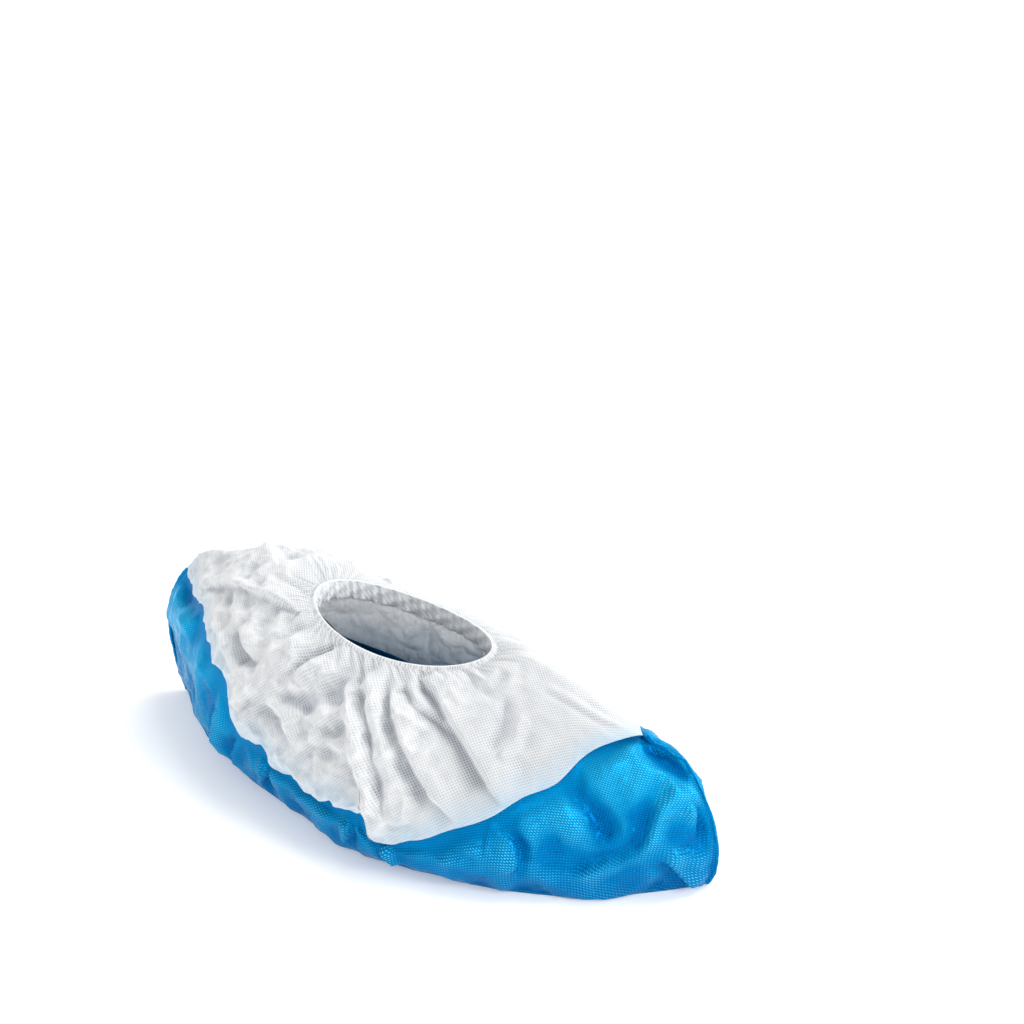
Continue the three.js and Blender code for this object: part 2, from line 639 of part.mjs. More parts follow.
// A weld: a flat fin that stands out of the line where the sides meet, WELD_THICK thick. Its
// path is given by station and turn, and goes clockwise as seen from the near side. It may
// stand higher by a peak where the path starts.
function weld(path, peak) {
  const line = path.map(({ station, turn }) => form(station, turn));
  const points = [];
  const faces = [];
  line.forEach((at, i) => {
    const ahead = line[Math.min(i + 1, line.length - 1)];
    const behind = line[Math.max(i - 1, 0)];
    const run = ahead.clone().sub(behind).normalize();
    const out = new THREE.Vector3(-run.z, 0, run.x);
    const inner = at.clone().addScaledVector(out, WELD_GAP);
    const higher = peak * Math.max(0, 1 - i / 3);
    const outer = at.clone().addScaledVector(out, WELD_OUT + higher);
    for (const edge of [inner, outer]) {
      edge.z = Math.max(edge.z, 0);
      points.push(edge.clone().setY(-WELD_THICK / 2), edge.clone().setY(WELD_THICK / 2));
    }
  });
  const [a, b, c, d] = [0, 1, 3, 2];
  for (let i = 0; i + 1 < line.length; i += 1) {
    const [p, q] = [4 * i, 4 * (i + 1)];
    for (const [k, m] of [[a, b], [b, c], [c, d], [d, a]]) {
      faces.push([p + k, p + m, q + m], [p + k, q + m, q + k]);
    }
  }
  const end = 4 * (line.length - 1);
  faces.push([a, c, b], [a, d, c]);
  faces.push([end + a, end + b, end + c], [end + a, end + c, end + d]);
  return solid(points, faces);
}

const spaced = (from, to, steps) => Array.from({ length: steps + 1 }, (_, i) => mix(from, to, i / steps));
const toePath = [
  ...spaced(0.895, 0.985, 4).map((station) => ({ station, turn: 0 })),
  ...spaced(0.0, 1.93, WELD_STEPS).map((turn) => ({ station: 1, turn })),
];
const heelPath = spaced(1.93, 0.5, WELD_STEPS).map((turn) => ({ station: -1, turn }));

// Colours and finishes
const film = new THREE.MeshStandardMaterial({ color: "#0d8fd0", roughness: 0.32, metalness: 0 });
const weldedFilm = new THREE.MeshStandardMaterial({ color: "#0b7fc0", roughness: 0.36, metalness: 0 });
const nonwoven = new THREE.MeshStandardMaterial({ color: "#f1f3f4", roughness: 0.9, metalness: 0 });
const hemCloth = new THREE.MeshStandardMaterial({ color: "#f6f7f7", roughness: 0.85, metalness: 0 });

const cover = new THREE.Group();
cover.name = "shoe_cover";
const piece = (name, geometry, material) => {
  const mesh = new THREE.Mesh(geometry, material);
  mesh.name = name;
  cover.add(mesh);
};
piece("film_sole", wall(filmSheet(), SHEET, 0), film);
piece("upper", wall(upperSheet(), SHEET, 3), nonwoven);
piece("elastic_hem", hem(), hemCloth);
piece("toe_seam", weld(toePath, TOE_WELD_PEAK), weldedFilm);
piece("heel_seam", weld(heelPath, 0), weldedFilm);

export default cover;
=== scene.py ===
# A disposable two-layer shoe cover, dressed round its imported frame: a crumpled nonwoven upper
# gathered into an elastic hem, over a tray of embossed film, with a weld at toe and heel.
# Sizes here are in millimetres, and become metres when a mesh is made. +X runs to the toe.
import math

import bpy
import mathutils
import numpy as np
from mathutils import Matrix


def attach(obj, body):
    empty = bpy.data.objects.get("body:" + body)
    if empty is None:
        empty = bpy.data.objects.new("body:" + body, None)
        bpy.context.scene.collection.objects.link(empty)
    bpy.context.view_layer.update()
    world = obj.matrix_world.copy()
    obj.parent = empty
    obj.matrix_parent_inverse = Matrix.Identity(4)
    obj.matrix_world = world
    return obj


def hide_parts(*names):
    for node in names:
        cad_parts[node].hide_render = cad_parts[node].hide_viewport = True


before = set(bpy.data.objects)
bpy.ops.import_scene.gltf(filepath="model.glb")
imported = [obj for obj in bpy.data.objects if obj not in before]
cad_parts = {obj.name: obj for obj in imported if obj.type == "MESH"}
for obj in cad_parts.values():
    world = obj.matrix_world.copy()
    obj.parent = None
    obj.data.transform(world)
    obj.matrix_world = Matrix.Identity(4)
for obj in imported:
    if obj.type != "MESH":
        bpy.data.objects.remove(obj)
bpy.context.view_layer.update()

MM = 0.001

# Driving sizes, the same as the frame's
LENGTH = 330.8
HALF_WIDTH = 72.7
HEIGHT = 100.6
WELD_OUT = 2.4
OPENING_MIDDLE = (-1.0, -2.1)
OPENING_HALF = (47.9, 27.9)
OPENING_HEIGHT = 86.1
OPENING_HEEL_RISE = 6.1
OPENING_SIDE_DIP = 4.3
ROLL = 1.4
BAND_DEPTH = 9.4

# The lap, where the film goes up under the upper: how far it goes in turns, how deep it lies, and
# the length of the upper's edge, in stations, that it has to stay under
LAP_TURN = 0.1
LAP_TURN_AT_HEEL = 0.05
LAP_DEPTH = 1.8
EDGE_REACH = 0.035

# Thickness of the sheets as they are seen
CLOTH = 0.22
FILM = 0.2
BAND = 0.6
WELD = 0.5

# Crumples: rows of height, size and seed of each kind of lump, and the middle of their sum
UPPER_CRUMPLES = ((5.0, 15, 1), (2.2, 7, 2))
UPPER_CRUMPLE_MIDDLE = 3.6
FILM_CRUMPLES = ((5.0, 24, 3), (2.0, 11, 4))
FILM_CRUMPLE_MIDDLE = 3.5

# Folds stand this much higher than their tables say, because settling softens them. Then half
# the width of the step beside one, and the shares of its line where it fades in and out.
UPPER_FOLD_SCALE = 1.6
FILM_FOLD_SCALE = 1.9
FOLD_STEP = 2
FOLD_FADE_IN = 0.12
FOLD_FADE_OUT = 0.22

# Settling, from coarse to fine: every which point, rounds, hold on the first folds, stiffness to
# bending, and roughness to start from. NO_FLOOR is the least rise where nothing lies below.
UPPER_LEVELS = ((4, 80, 0.02, 0.06, 0.8), (2, 50, 0.02, 0.1, 0.3), (1, 20, 0.02, 0.15, 0.0))
FILM_LEVELS = ((4, 60, 0.02, 0.1, 0.4), (2, 40, 0.02, 0.15, 0.1), (1, 16, 0.02, 0.2, 0.0))
SETTLE_SEED = 7
NO_FLOOR = -6.0

# The upper: how much less it crumples over the toe, on the far side, at its lower edge and at the
# rim's toe end, the least crease anywhere, and the cloth gathered at the rim and how far down
TOE_CALM = 0.85
FAR_CALM = 0.6
EDGE_CALM = 0.5
RIM_TOE_CALM = 0.7
LEAST_CREASED = 0.12
GATHERED = 0.25
GATHER_DEPTH = 0.22

# The film: how much less it gives on the floor, and how much longer it is than its form
SOLE_CALM = 0.96
FILM_SPARE = 0.015

# Mesh density
RAYS = 560
RINGS = 81
BAND_RINGS = 14
FILM_STATIONS = 321
LAP_ROWS = 4
WALL_ROWS = 52
SOLE_ROWS = 10
WELD_ROWS = 5

# Points of a mesh that agree to this become one
PLACES_PER_MM = 500

# Rounds in finding a place on the form, steps in measuring round it, and a length near nothing
PLACE_ROUNDS = 6
GIRTH_STEPS = 16
TINY = 1e-9

# The welds: how far each shows and is hidden, its least height, and the turn where it ends
WELD_SHOWN = 0.5
WELD_HIDDEN = 0.8
WELD_LOWEST = 0.5
SOLE_EDGE = 1.93

# The upper's rolled edge, from inside out, as (out, up) from the edge of the opening, and how
# high the band starts
LIP = np.array(
    [[-0.6, -0.1], [-0.5, 0.35], [-0.15, 0.62], [0.3, 0.6], [0.75, 0.3], [1.15, -0.1]]
)
BAND_TOP = 0.75

# How a place is scrambled into numbers that look random
HASH = np.array([[127.1, 269.5, 419.2], [311.7, 183.3, 371.9], [74.7, 246.1, 124.6]])
HASH_SEED = 19.19
HASH_SIZE = 43758.5453


def table(columns, rows):
    """Rows of values become one array for each named column."""
    return dict(zip(columns.split(), np.array(rows, float).T))


# Cross sections from heel (-1) to toe (1). Heights are shares of HEIGHT, half widths of
# HALF_WIDTH. The bulge is where a side is widest, and a roundness of 2 is an ellipse.
SECTIONS = table("station ridge bulge bulge_height sole roundness", [
    [-1.0, 0.855, 0.0, 0.446, 0.0, 2.03],
    [-0.9, 0.941, 0.145, 0.406, 0.13, 2.37],
    [-0.72, 1.0, 0.43, 0.361, 0.335, 2.67],
    [-0.45, 0.968, 0.744, 0.323, 0.56, 2.31],
    [-0.15, 0.905, 0.889, 0.272, 0.72, 2.03],
    [0.15, 0.884, 1.0, 0.221, 0.817, 1.74],
    [0.45, 0.874, 0.857, 0.159, 0.733, 1.53],
    [0.7, 0.797, 0.568, 0.13, 0.546, 1.51],
    [0.88, 0.636, 0.307, 0.178, 0.252, 1.86],
    [1.0, 0.58, 0.0, 0.133, 0.0, 2.38],
])

# Lower edge of the upper, by angle round the opening from the toe. A turn of 0 is the ridge,
# 1 the bulge, 2 the edge of the sole and 3 the middle of the sole. The near edge is uneven:
# it hangs lower or higher than its run by the turns in the last column.
LOWER_EDGE = table("angle station near far hang", [
    [0, 0.885, 0.0, 0.0, 0],
    [10, 0.835, 0.24, 0.25, 0],
    [24, 0.72, 0.485, 0.48, 0],
    [33, 0.66, 0.585, 0.59, 0],
    [45, 0.59, 0.645, 0.69, 0],
    [60, 0.505, 0.745, 0.79, 0],
    [77, 0.41, 0.825, 0.88, 0],
    [92, 0.315, 0.91, 0.96, 0.02],
    [106, 0.215, 0.93, 1.04, 0.145],
    [111, 0.18, 0.93, 1.06, -0.03],
    [118, 0.09, 0.94, 1.12, -0.02],
    [124, -0.03, 0.96, 1.18, 0.01],
    [130, -0.18, 0.97, 1.26, 0.02],
    [134, -0.25, 0.96, 1.28, -0.02],
    [139, -0.34, 0.95, 1.235, 0.03],
    [143, -0.385, 0.93, 1.21, 0],
    [146, -0.425, 0.8, 1.19, 0],
    [149, -0.5, 0.745, 1.15, 0],
    [155, -0.665, 0.715, 0.95, 0],
    [158.5, -0.725, 0.635, 0.86, 0],
    [162, -0.8, 0.66, 0.74, 0],
    [170, -0.93, 0.59, 0.56, 0],
    [175, -1.0, 0.4, 0.4, 0],
    [180, -1.0, 0.0, 0.0, 0],
])
TIP_STATION = LOWER_EDGE["station"][0]

# Folds, as rows of left width and rise, right width and rise, and a line of (station, turn),
# where a turn below zero is on the near side. Left and right are as seen from outside, going
# along the line: where they differ, the cloth steps down from one side to the other, and a rise
# below zero is a valley.
UPPER_FOLDS = (
    # Pleats on the near side, from the hem down, from heel to toe
    (6, 3.0, 5, 3.0, [(-0.02, -0.44), (0.04, -0.52), (0.1, -0.62), (0.16, -0.76), (0.19, -0.84),
        (0.218, -1.02)]),
    (5, -2.2, 5, -2.2, [(0.06, -0.43), (0.115, -0.55), (0.17, -0.65), (0.245, -0.83)]),
    (7, 2.6, 5, 2.6, [(0.05, -0.36), (0.106, -0.47), (0.183, -0.65), (0.254, -0.8), (0.3, -0.9)]),
    (10, 2.2, 7, -2.4, [(0.14, -0.39), (0.2, -0.507), (0.28, -0.63), (0.35, -0.727), (0.44, -0.8)]),
    (9, 1.6, 7, -1.8, [(0.19, -0.36), (0.25, -0.43), (0.34, -0.463), (0.4, -0.5)]),
    (17, 2.2, 12, -3.0, [(0.22, -0.32), (0.3, -0.373), (0.38, -0.47), (0.453, -0.56),
        (0.509, -0.657), (0.55, -0.73)]),
    # The large soft fold over the heel, which drops into a hollow below it
    (14, 2.0, 13, -2.2, [(-0.82, -0.66), (-0.78, -0.52), (-0.7, -0.41), (-0.52, -0.31),
        (-0.38, -0.27), (-0.3, -0.28)]),
    (6, 1.6, 6, 1.6, [(-0.66, -0.4), (-0.57, -0.46), (-0.49, -0.54)]),
    (3.5, 1.6, 3.5, 1.6, [(-0.62, -0.62), (-0.514, -0.637), (-0.448, -0.673), (-0.38, -0.7)]),
    (8, 1.8, 7, -2.2, [(-0.5, -0.53), (-0.395, -0.6), (-0.353, -0.603), (-0.31, -0.57)]),
    # Crumples of the heel half
    (7, 2.6, 6, 2.6, [(-0.38, -0.76), (-0.351, -0.66), (-0.318, -0.6), (-0.249, -0.43),
        (-0.21, -0.31)]),
    (6, 2.6, 7, 2.6, [(-0.37, -0.84), (-0.304, -0.69), (-0.237, -0.54), (-0.22, -0.44),
        (-0.17, -0.33)]),
    (6, -2.2, 7, 2.0, [(-0.165, -0.53), (-0.162, -0.463), (-0.135, -0.41), (-0.1, -0.35)]),
    (6, 2.6, 6, 2.6, [(-0.24, -0.73), (-0.175, -0.7), (-0.145, -0.71), (-0.145, -0.763),
        (-0.08, -0.8)]),
    (5, 2.2, 5, 2.2, [(-0.215, -0.73), (-0.232, -0.68), (-0.22, -0.633), (-0.14, -0.56)]),
    (5, 2.0, 5, 2.0, [(-0.15, -0.57), (-0.147, -0.52), (-0.11, -0.453), (-0.09, -0.453),
        (-0.06, -0.5)]),
    (6, 2.8, 7, 2.8, [(-0.08, -0.72), (-0.027, -0.627), (0.06, -0.53)]),
    (4, 1.6, 4, 1.6, [(-0.06, -0.73), (0.02, -0.7), (0.1, -0.66)]),
    (4, 1.8, 4, 1.8, [(-0.38, -0.81), (-0.296, -0.867), (-0.23, -0.91)]),
    (4, 1.8, 4, 1.8, [(-0.31, -0.88), (-0.264, -0.743), (-0.25, -0.7)]),
    (7, -1.6, 7, -1.6, [(-0.72, -0.33), (-0.62, -0.27), (-0.54, -0.24)]),
    # Slight wrinkles over the toe
    (4, -1.0, 5, -1.0, [(0.5, -0.53), (0.53, -0.41), (0.53, -0.3)]),
    (4, 1.0, 5, 1.0, [(0.52, -0.54), (0.566, -0.463), (0.584, -0.34)]),
    (5, -0.9, 4, -0.9, [(0.46, -0.34), (0.5, -0.26), (0.52, -0.18)]),
    (4, 1.0, 4, -0.8, [(0.64, -0.2), (0.72, -0.205), (0.8, -0.18), (0.86, -0.11)]),
    # Pleats on the far side
    (7, 3.0, 8, 3.0, [(-0.78, 0.6), (-0.5, 0.36), (-0.33, 0.23)]),
    (8, 2.4, 7, -2.4, [(-0.5, 0.8), (-0.33, 0.5), (-0.22, 0.3)]),
    (8, 2.8, 8, 2.8, [(-0.24, 1.0), (-0.16, 0.65), (-0.12, 0.36)]),
    (8, 2.4, 8, -2.2, [(0.02, 1.08), (0.0, 0.75), (-0.02, 0.4)]),
    (8, 2.8, 8, 2.8, [(0.2, 0.98), (0.12, 0.66), (0.06, 0.4)]),
    (8, 2.2, 8, -2.4, [(0.4, 0.84), (0.27, 0.56), (0.18, 0.38)]),
    (8, 2.2, 8, 2.2, [(0.58, 0.64), (0.4, 0.44), (0.28, 0.32)]),
)

# Round hollows: station, turn, radius and depth
UPPER_HOLLOWS = (
    (-0.57, -0.46, 8, 1.6),
    (-0.42, -0.38, 9, 1.8),
    (-0.6, -0.72, 8, 1.2),
    (-0.42, -0.64, 6, 2.0),
    (-0.184, -0.64, 6, 3.0),
    (-0.03, -0.51, 7, 2.8),
    (-0.21, -0.8, 8, 2.2),
    (0.01, -0.65, 7, 2.6),
    (-0.1, -0.62, 5, 1.6),
)

FILM_FOLDS = (
    # The toe: a ridge down from the tip of the upper, a strip beside it, and dents
    (7, 2.2, 13, 2.2, [(0.83, -0.2), (0.884, -0.357), (0.931, -0.467), (0.968, -0.593),
        (0.985, -0.76)]),
    (6, -2.4, 6, -2.4, [(0.905, -0.04), (0.92, -0.08), (0.963, -0.267), (0.99, -0.46)]),
    (9, -2.4, 11, -2.4, [(0.65, -0.53), (0.7, -0.59), (0.745, -0.66), (0.781, -0.78),
        (0.785, -0.87)]),
    (8, 1.4, 10, -2.2, [(0.945, -0.46), (0.907, -0.59), (0.884, -0.723), (0.85, -0.9)]),
    (8, 1.0, 8, -2.0, [(0.865, -0.86), (0.791, -0.907), (0.69, -1.0)]),
    (3, -1.8, 4, -1.8, [(0.96, -0.54), (0.979, -0.643), (0.975, -0.747), (0.985, -0.88)]),
    (3, 1.4, 3, 1.4, [(0.955, -0.62), (0.97, -0.7), (0.962, -0.82)]),
    (7, 1.6, 6, -1.4, [(0.9, -0.95), (0.925, -1.2), (0.95, -1.5), (0.97, -1.75)]),
    (8, -0.8, 8, 1.2, [(0.9, -0.88), (0.95, -0.92), (0.985, -0.98)]),
    (6, -2.0, 11, 1.2, [(0.47, -0.72), (0.538, -0.777), (0.58, -0.847), (0.578, -0.95),
        (0.56, -1.1)]),
    (9, 1.8, 9, 1.8, [(0.606, -0.65), (0.66, -0.6), (0.7, -0.72), (0.72, -0.84)]),
    (6, 1.2, 7, -1.2, [(0.36, -0.93), (0.42, -0.9), (0.5, -0.93)]),
    # The near side
    (6, -3.6, 7, -3.6, [(-0.96, -0.62), (-0.889, -0.71), (-0.8, -0.68), (-0.714, -0.63)]),
    (9, 1.8, 8, 1.8, [(-0.9, -0.84), (-0.8, -0.8), (-0.7, -0.82)]),
    (8, 1.6, 6, -1.2, [(-0.48, -0.95), (-0.5, -1.2), (-0.52, -1.6)]),
    (6, -2.0, 6, 1.6, [(-0.22, -0.92), (-0.25, -1.25), (-0.3, -1.62)]),
    (5, 1.6, 5, -1.4, [(-0.36, -0.98), (-0.42, -1.25), (-0.43, -1.5)]),
    (5, -1.8, 6, 1.6, [(0.11, -0.92), (0.12, -1.15), (0.1, -1.5)]),
    (6, 2.0, 5, -2.2, [(0.21, -1.04), (0.23, -1.3), (0.25, -1.6)]),
    # The far side
    (8, 2.0, 8, -2.0, [(0.6, 0.75), (0.64, 1.05), (0.6, 1.4)]),
    (9, -2.4, 9, -2.4, [(0.78, 0.5), (0.84, 0.7), (0.83, 0.95)]),
    (8, 2.4, 8, 2.0, [(0.9, 0.7), (0.86, 0.86), (0.72, 0.95)]),
    (7, -2.6, 7, -2.6, [(-0.85, 0.8), (-0.78, 0.78), (-0.68, 0.86)]),
    (7, 2.0, 6, -1.6, [(-0.62, 1.1), (-0.66, 1.4), (-0.68, 1.7)]),
    (6, -2.0, 6, 1.6, [(-0.1, 1.25), (-0.08, 1.5), (-0.1, 1.75)]),
    (6, 1.8, 6, -1.8, [(0.3, 1.0), (0.33, 1.3), (0.3, 1.6)]),
)


# Small maths
def norms(vectors):
    return np.linalg.norm(vectors, axis=-1)


def unit(vectors):
    return vectors / np.maximum(norms(vectors), TINY)[..., None]


def mix(a, b, t):
    return a + (b - a) * t


def smooth(start, end, value):
    t = np.clip((value - start) / (end - start), 0, 1)
    return t * t * (3 - 2 * t)


def end_slope(span, next_span, rate, next_rate):
    slope = ((2 * span + next_span) * rate - span * next_rate) / (span + next_span)
    if slope * rate <= 0:
        return 0.0
    if rate * next_rate <= 0 and abs(slope) > 3 * abs(rate):
        return 3 * rate
    return slope


def curve(x, y):
    """A curve through the points that never overshoots them."""
    span, rate = np.diff(x), np.diff(y) / np.diff(x)
    slope = np.zeros(len(x))
    slope[0] = end_slope(span[0], span[1], rate[0], rate[1])
    slope[-1] = end_slope(span[-1], span[-2], rate[-1], rate[-2])
    for i in range(1, len(x) - 1):
        if rate[i - 1] * rate[i] > 0:
            before = 2 * span[i] + span[i - 1]
            after = span[i] + 2 * span[i - 1]
            slope[i] = (before + after) / (before / rate[i - 1] + after / rate[i])

    def at(value):
        v = np.clip(value, x[0], x[-1])
        k = np.clip(np.searchsorted(x, v, side="right") - 1, 0, len(x) - 2)
        t = (v - x[k]) / span[k]
        bend = slope[k] * t * (1 - t) ** 2 - slope[k + 1] * t * t * (1 - t)
        return mix(y[k], y[k + 1], (3 - 2 * t) * t * t) + span[k] * bend

    return at


# The sections by station, the lower edge by angle, and the lower edge by station. The last row of
# LOWER_EDGE has the station of the row before it, so the curves by station leave it out.
ridge, bulge, bulge_height, sole, roundness = (
    curve(SECTIONS["station"], column) for name, column in SECTIONS.items() if name != "station"
)
edge_station, edge_near, edge_far, edge_hang = (
    curve(LOWER_EDGE["angle"], column) for name, column in LOWER_EDGE.items() if name != "angle"
)
edge_near_at, edge_far_at, edge_hang_at = (
    curve(LOWER_EDGE["station"][-2::-1], LOWER_EDGE[name][-2::-1])
    for name in ("near", "far", "hang")
)

# Where the sides meet at each end, by height: the toe leans back over its foremost point, and
# the heel leans forward over its own.
TOE_POINT_HEIGHT = 13.4
HEEL_POINT_HEIGHT = 39.3


def end_x(station, z):
    above = z - TOE_POINT_HEIGHT
    toe = np.where(above > 0, 18.6 * (above / 46.5) ** 2, 4.1 * (above / TOE_POINT_HEIGHT) ** 2)
    over = z - HEEL_POINT_HEIGHT
    heel = np.where(over > 0, 19.6, 8.3) * (over / HEEL_POINT_HEIGHT) ** 2
    return LENGTH / 2 - WELD_OUT - np.where(station > 0, toe, heel)


def form(station, turn):
    """The smooth form that film and upper share, by station and turn."""
    station, turn = np.broadcast_arrays(np.asarray(station, float), np.asarray(turn, float))
    around = np.abs(turn)
    top, middle = ridge(station) * HEIGHT, bulge_height(station) * HEIGHT
    wide, flat = bulge(station) * HALF_WIDTH, sole(station) * HALF_WIDTH
    power = 2 / roundness(station)
    angle = np.clip(around, 0, 1) * math.pi / 2
    under = np.clip(around - 1, 0, 1) * math.pi / 2
    y = np.where(around <= 1, wide * np.sin(angle) ** power, mix(flat, wide, np.cos(under)))
    y = np.where(around > 2, flat * (3 - around), y)
    crown = mix(middle, top, np.clip(np.cos(angle), 0, None) ** power)
    z = np.where(around <= 1, crown, middle * (1 - np.sin(under)))
    return np.stack([station * end_x(station, z), np.sign(turn) * y, z], -1)


def place_above(x, y):
    """The station and turn of the form's top above a place in plan, found in a few rounds."""
    station = x / (LENGTH / 2)
    for _ in range(PLACE_ROUNDS):
        share = np.abs(y) / (bulge(station) * HALF_WIDTH)
        turn = np.arcsin(np.clip(share ** (roundness(station) / 2), 0, 1)) * 2 / math.pi
        station = x / end_x(np.sign(x), form(station, turn)[..., 2])
    return station, np.sign(y) * turn


def opening(angle):
    """The edge of the opening, and the level way out of it, by angle from the toe in degrees."""
    c, s = np.cos(np.radians(angle)), np.sin(np.radians(angle))
    x = OPENING_MIDDLE[0] + OPENING_HALF[0] * c
    y = OPENING_MIDDLE[1] + OPENING_HALF[1] * s
    z = OPENING_HEIGHT - OPENING_HEEL_RISE * c - OPENING_SIDE_DIP * s * s
    out = np.stack([c / OPENING_HALF[0], s / OPENING_HALF[1], 0 * c], -1)
    return np.stack([x, y, z], -1), unit(out)


def girth(station, turn):
    """The length round the form from its ridge to a turn, less than zero on the near side."""
    shares = np.linspace(0, 1, GIRTH_STEPS + 1)
    path = form(station[..., None], turn[..., None] * shares)
    return np.sign(turn) * norms(np.diff(path, axis=-2)).sum(-1)


def noise(points, size, seed):
    """Smooth noise from -1 to 1 with a given size of lump, by position."""
    p = points / size
    cell = np.floor(p).astype(int)
    t = p - cell
    t = t * t * (3 - 2 * t)
    total = 0
    for corner in np.ndindex(2, 2, 2):
        at = cell + corner
        dot = at[..., 0] * HASH[0, 0] + at[..., 1] * HASH[1, 0] + at[..., 2] * HASH[2, 0]
        value = np.sin(dot + seed * HASH_SEED) * HASH_SIZE
        weight = np.prod(np.where(np.array(corner) == 1, t, 1 - t), axis=-1)
        total = total + weight * (value - np.floor(value))
    return 2 * total - 1


def fold_rise(at, out, folds):
    """The rise of folds along lines at each place, which fades out at both ends of a line."""
    rise = np.zeros(at.shape[:-1])
    for left_width, left_rise, right_width, right_rise, places in folds:
        line = form(*np.array(places).T)
        lengths = norms(np.diff(line, axis=0))
        before = np.concatenate([[0], np.cumsum(lengths)])
        nearest = np.full(at.shape[:-1], 1e9)
        side = np.zeros_like(nearest)
        share = np.zeros_like(nearest)
        for k, length in enumerate(lengths):
            along = (line[k + 1] - line[k]) / length
            offset = at - line[k]
            run = np.clip(offset @ along, 0, length)
            away = offset - run[..., None] * along
            distance = norms(away)
            closer = distance < nearest
            turned = (np.cross(np.broadcast_to(along, away.shape), away) * out).sum(-1)
            nearest = np.where(closer, distance, nearest)
            side = np.where(closer, np.sign(turned), side)
            share = np.where(closer, (before[k] + run) / before[-1], share)
        left = left_rise * np.clip(1 - nearest / left_width, 0, None)
        right = right_rise * np.clip(1 - nearest / right_width, 0, None)
        on_left = smooth(-FOLD_STEP, FOLD_STEP, side * nearest)
        ends = smooth(0, FOLD_FADE_IN, share), smooth(0, FOLD_FADE_OUT, 1 - share)
        rise += mix(right, left, on_left) * ends[0] * ends[1]
    return rise


def crumple(points, size, seed):
    """Round dips about random places, which meet in sharp crests: 0 in a dip, 1 on a crest."""
    p = points / size
    cell = np.floor(p)
    nearest = np.full(points.shape[:-1], 9.0)
    for corner in np.ndindex(3, 3, 3):
        at = cell + corner - 1
        value = np.sin(at @ HASH + seed * HASH_SEED) * HASH_SIZE
        away = at + value - np.floor(value) - p
        nearest = np.minimum(nearest, norms(away))
    return nearest


def crumples(points, kinds, middle):
    """The rise of lumps of several kinds together, above and below nothing."""
    first, second = (height * crumple(points, size, seed) for height, size, seed in kinds)
    return first + second - middle


def hollow_rise(at, hollows):
    """The rise of round hollows at each place, which is less than zero."""
    rise = np.zeros(at.shape[:-1])
    for station, turn, radius, depth in hollows:
        away = norms(at - form(station, turn))
        rise -= depth * np.exp(-((away / radius) ** 2))
    return rise


# Grids of points, [along, across]
def grid_normals(points, closed):
    """The way out of a grid at each point. The first axis may close on itself."""
    if closed:
        along = np.roll(points, -1, 0) - np.roll(points, 1, 0)
    else:
        along = np.gradient(points, axis=0)
    return unit(np.cross(np.gradient(points, axis=1), along))


def finer(grid, shape, closed):
    """A grid resampled to a new shape, straight between its points."""
    for axis in (0, 1):
        count, wanted = grid.shape[axis], shape[axis]
        if axis == 0 and closed:
            at = np.arange(wanted) * count / wanted
            low = np.floor(at).astype(int)
            high = (low + 1) % count
        else:
            at = np.linspace(0, count - 1, wanted)
            low = np.clip(np.floor(at).astype(int), 0, count - 2)
            high = low + 1
        t = (at - low).reshape([-1 if k == axis else 1 for k in range(grid.ndim)])
        grid = mix(np.take(grid, low, axis), np.take(grid, high, axis), t)
    return grid


def blurred(grid, times, closed):
    """A grid of values, smoothed."""
    grid = grid.copy()
    for _ in range(times):
        if closed:
            grid = (np.roll(grid, 1, 0) + np.roll(grid, -1, 0) + 2 * grid) / 4
        else:
            grid[1:-1] = (grid[2:] + grid[:-2] + 2 * grid[1:-1]) / 4
        grid[:, 1:-1] = (grid[:, 2:] + grid[:, :-2] + 2 * grid[:, 1:-1]) / 4
    return grid


def ties(shape, closed):
    """Sets of pairs of neighbouring points, in which no point is in a set twice."""
    number = np.arange(shape[0] * shape[1]).reshape(shape)
    following = np.roll(number, -1, 0) if closed else number[1:]
    here = number if closed else number[:-1]
    sets = []
    for parity in (0, 1):
        sets.append(("along", here[parity::2], following[parity::2]))
        sets.append(("across", number[:, parity:-1:2], number[:, parity + 1 :: 2]))
        sets.append(("both", here[:, parity:-1:2], following[:, parity + 1 :: 2]))
        sets.append(("both", following[:, parity:-1:2], here[:, parity + 1 :: 2]))
    return [(way, a.ravel(), b.ravel()) for way, a, b in sets]


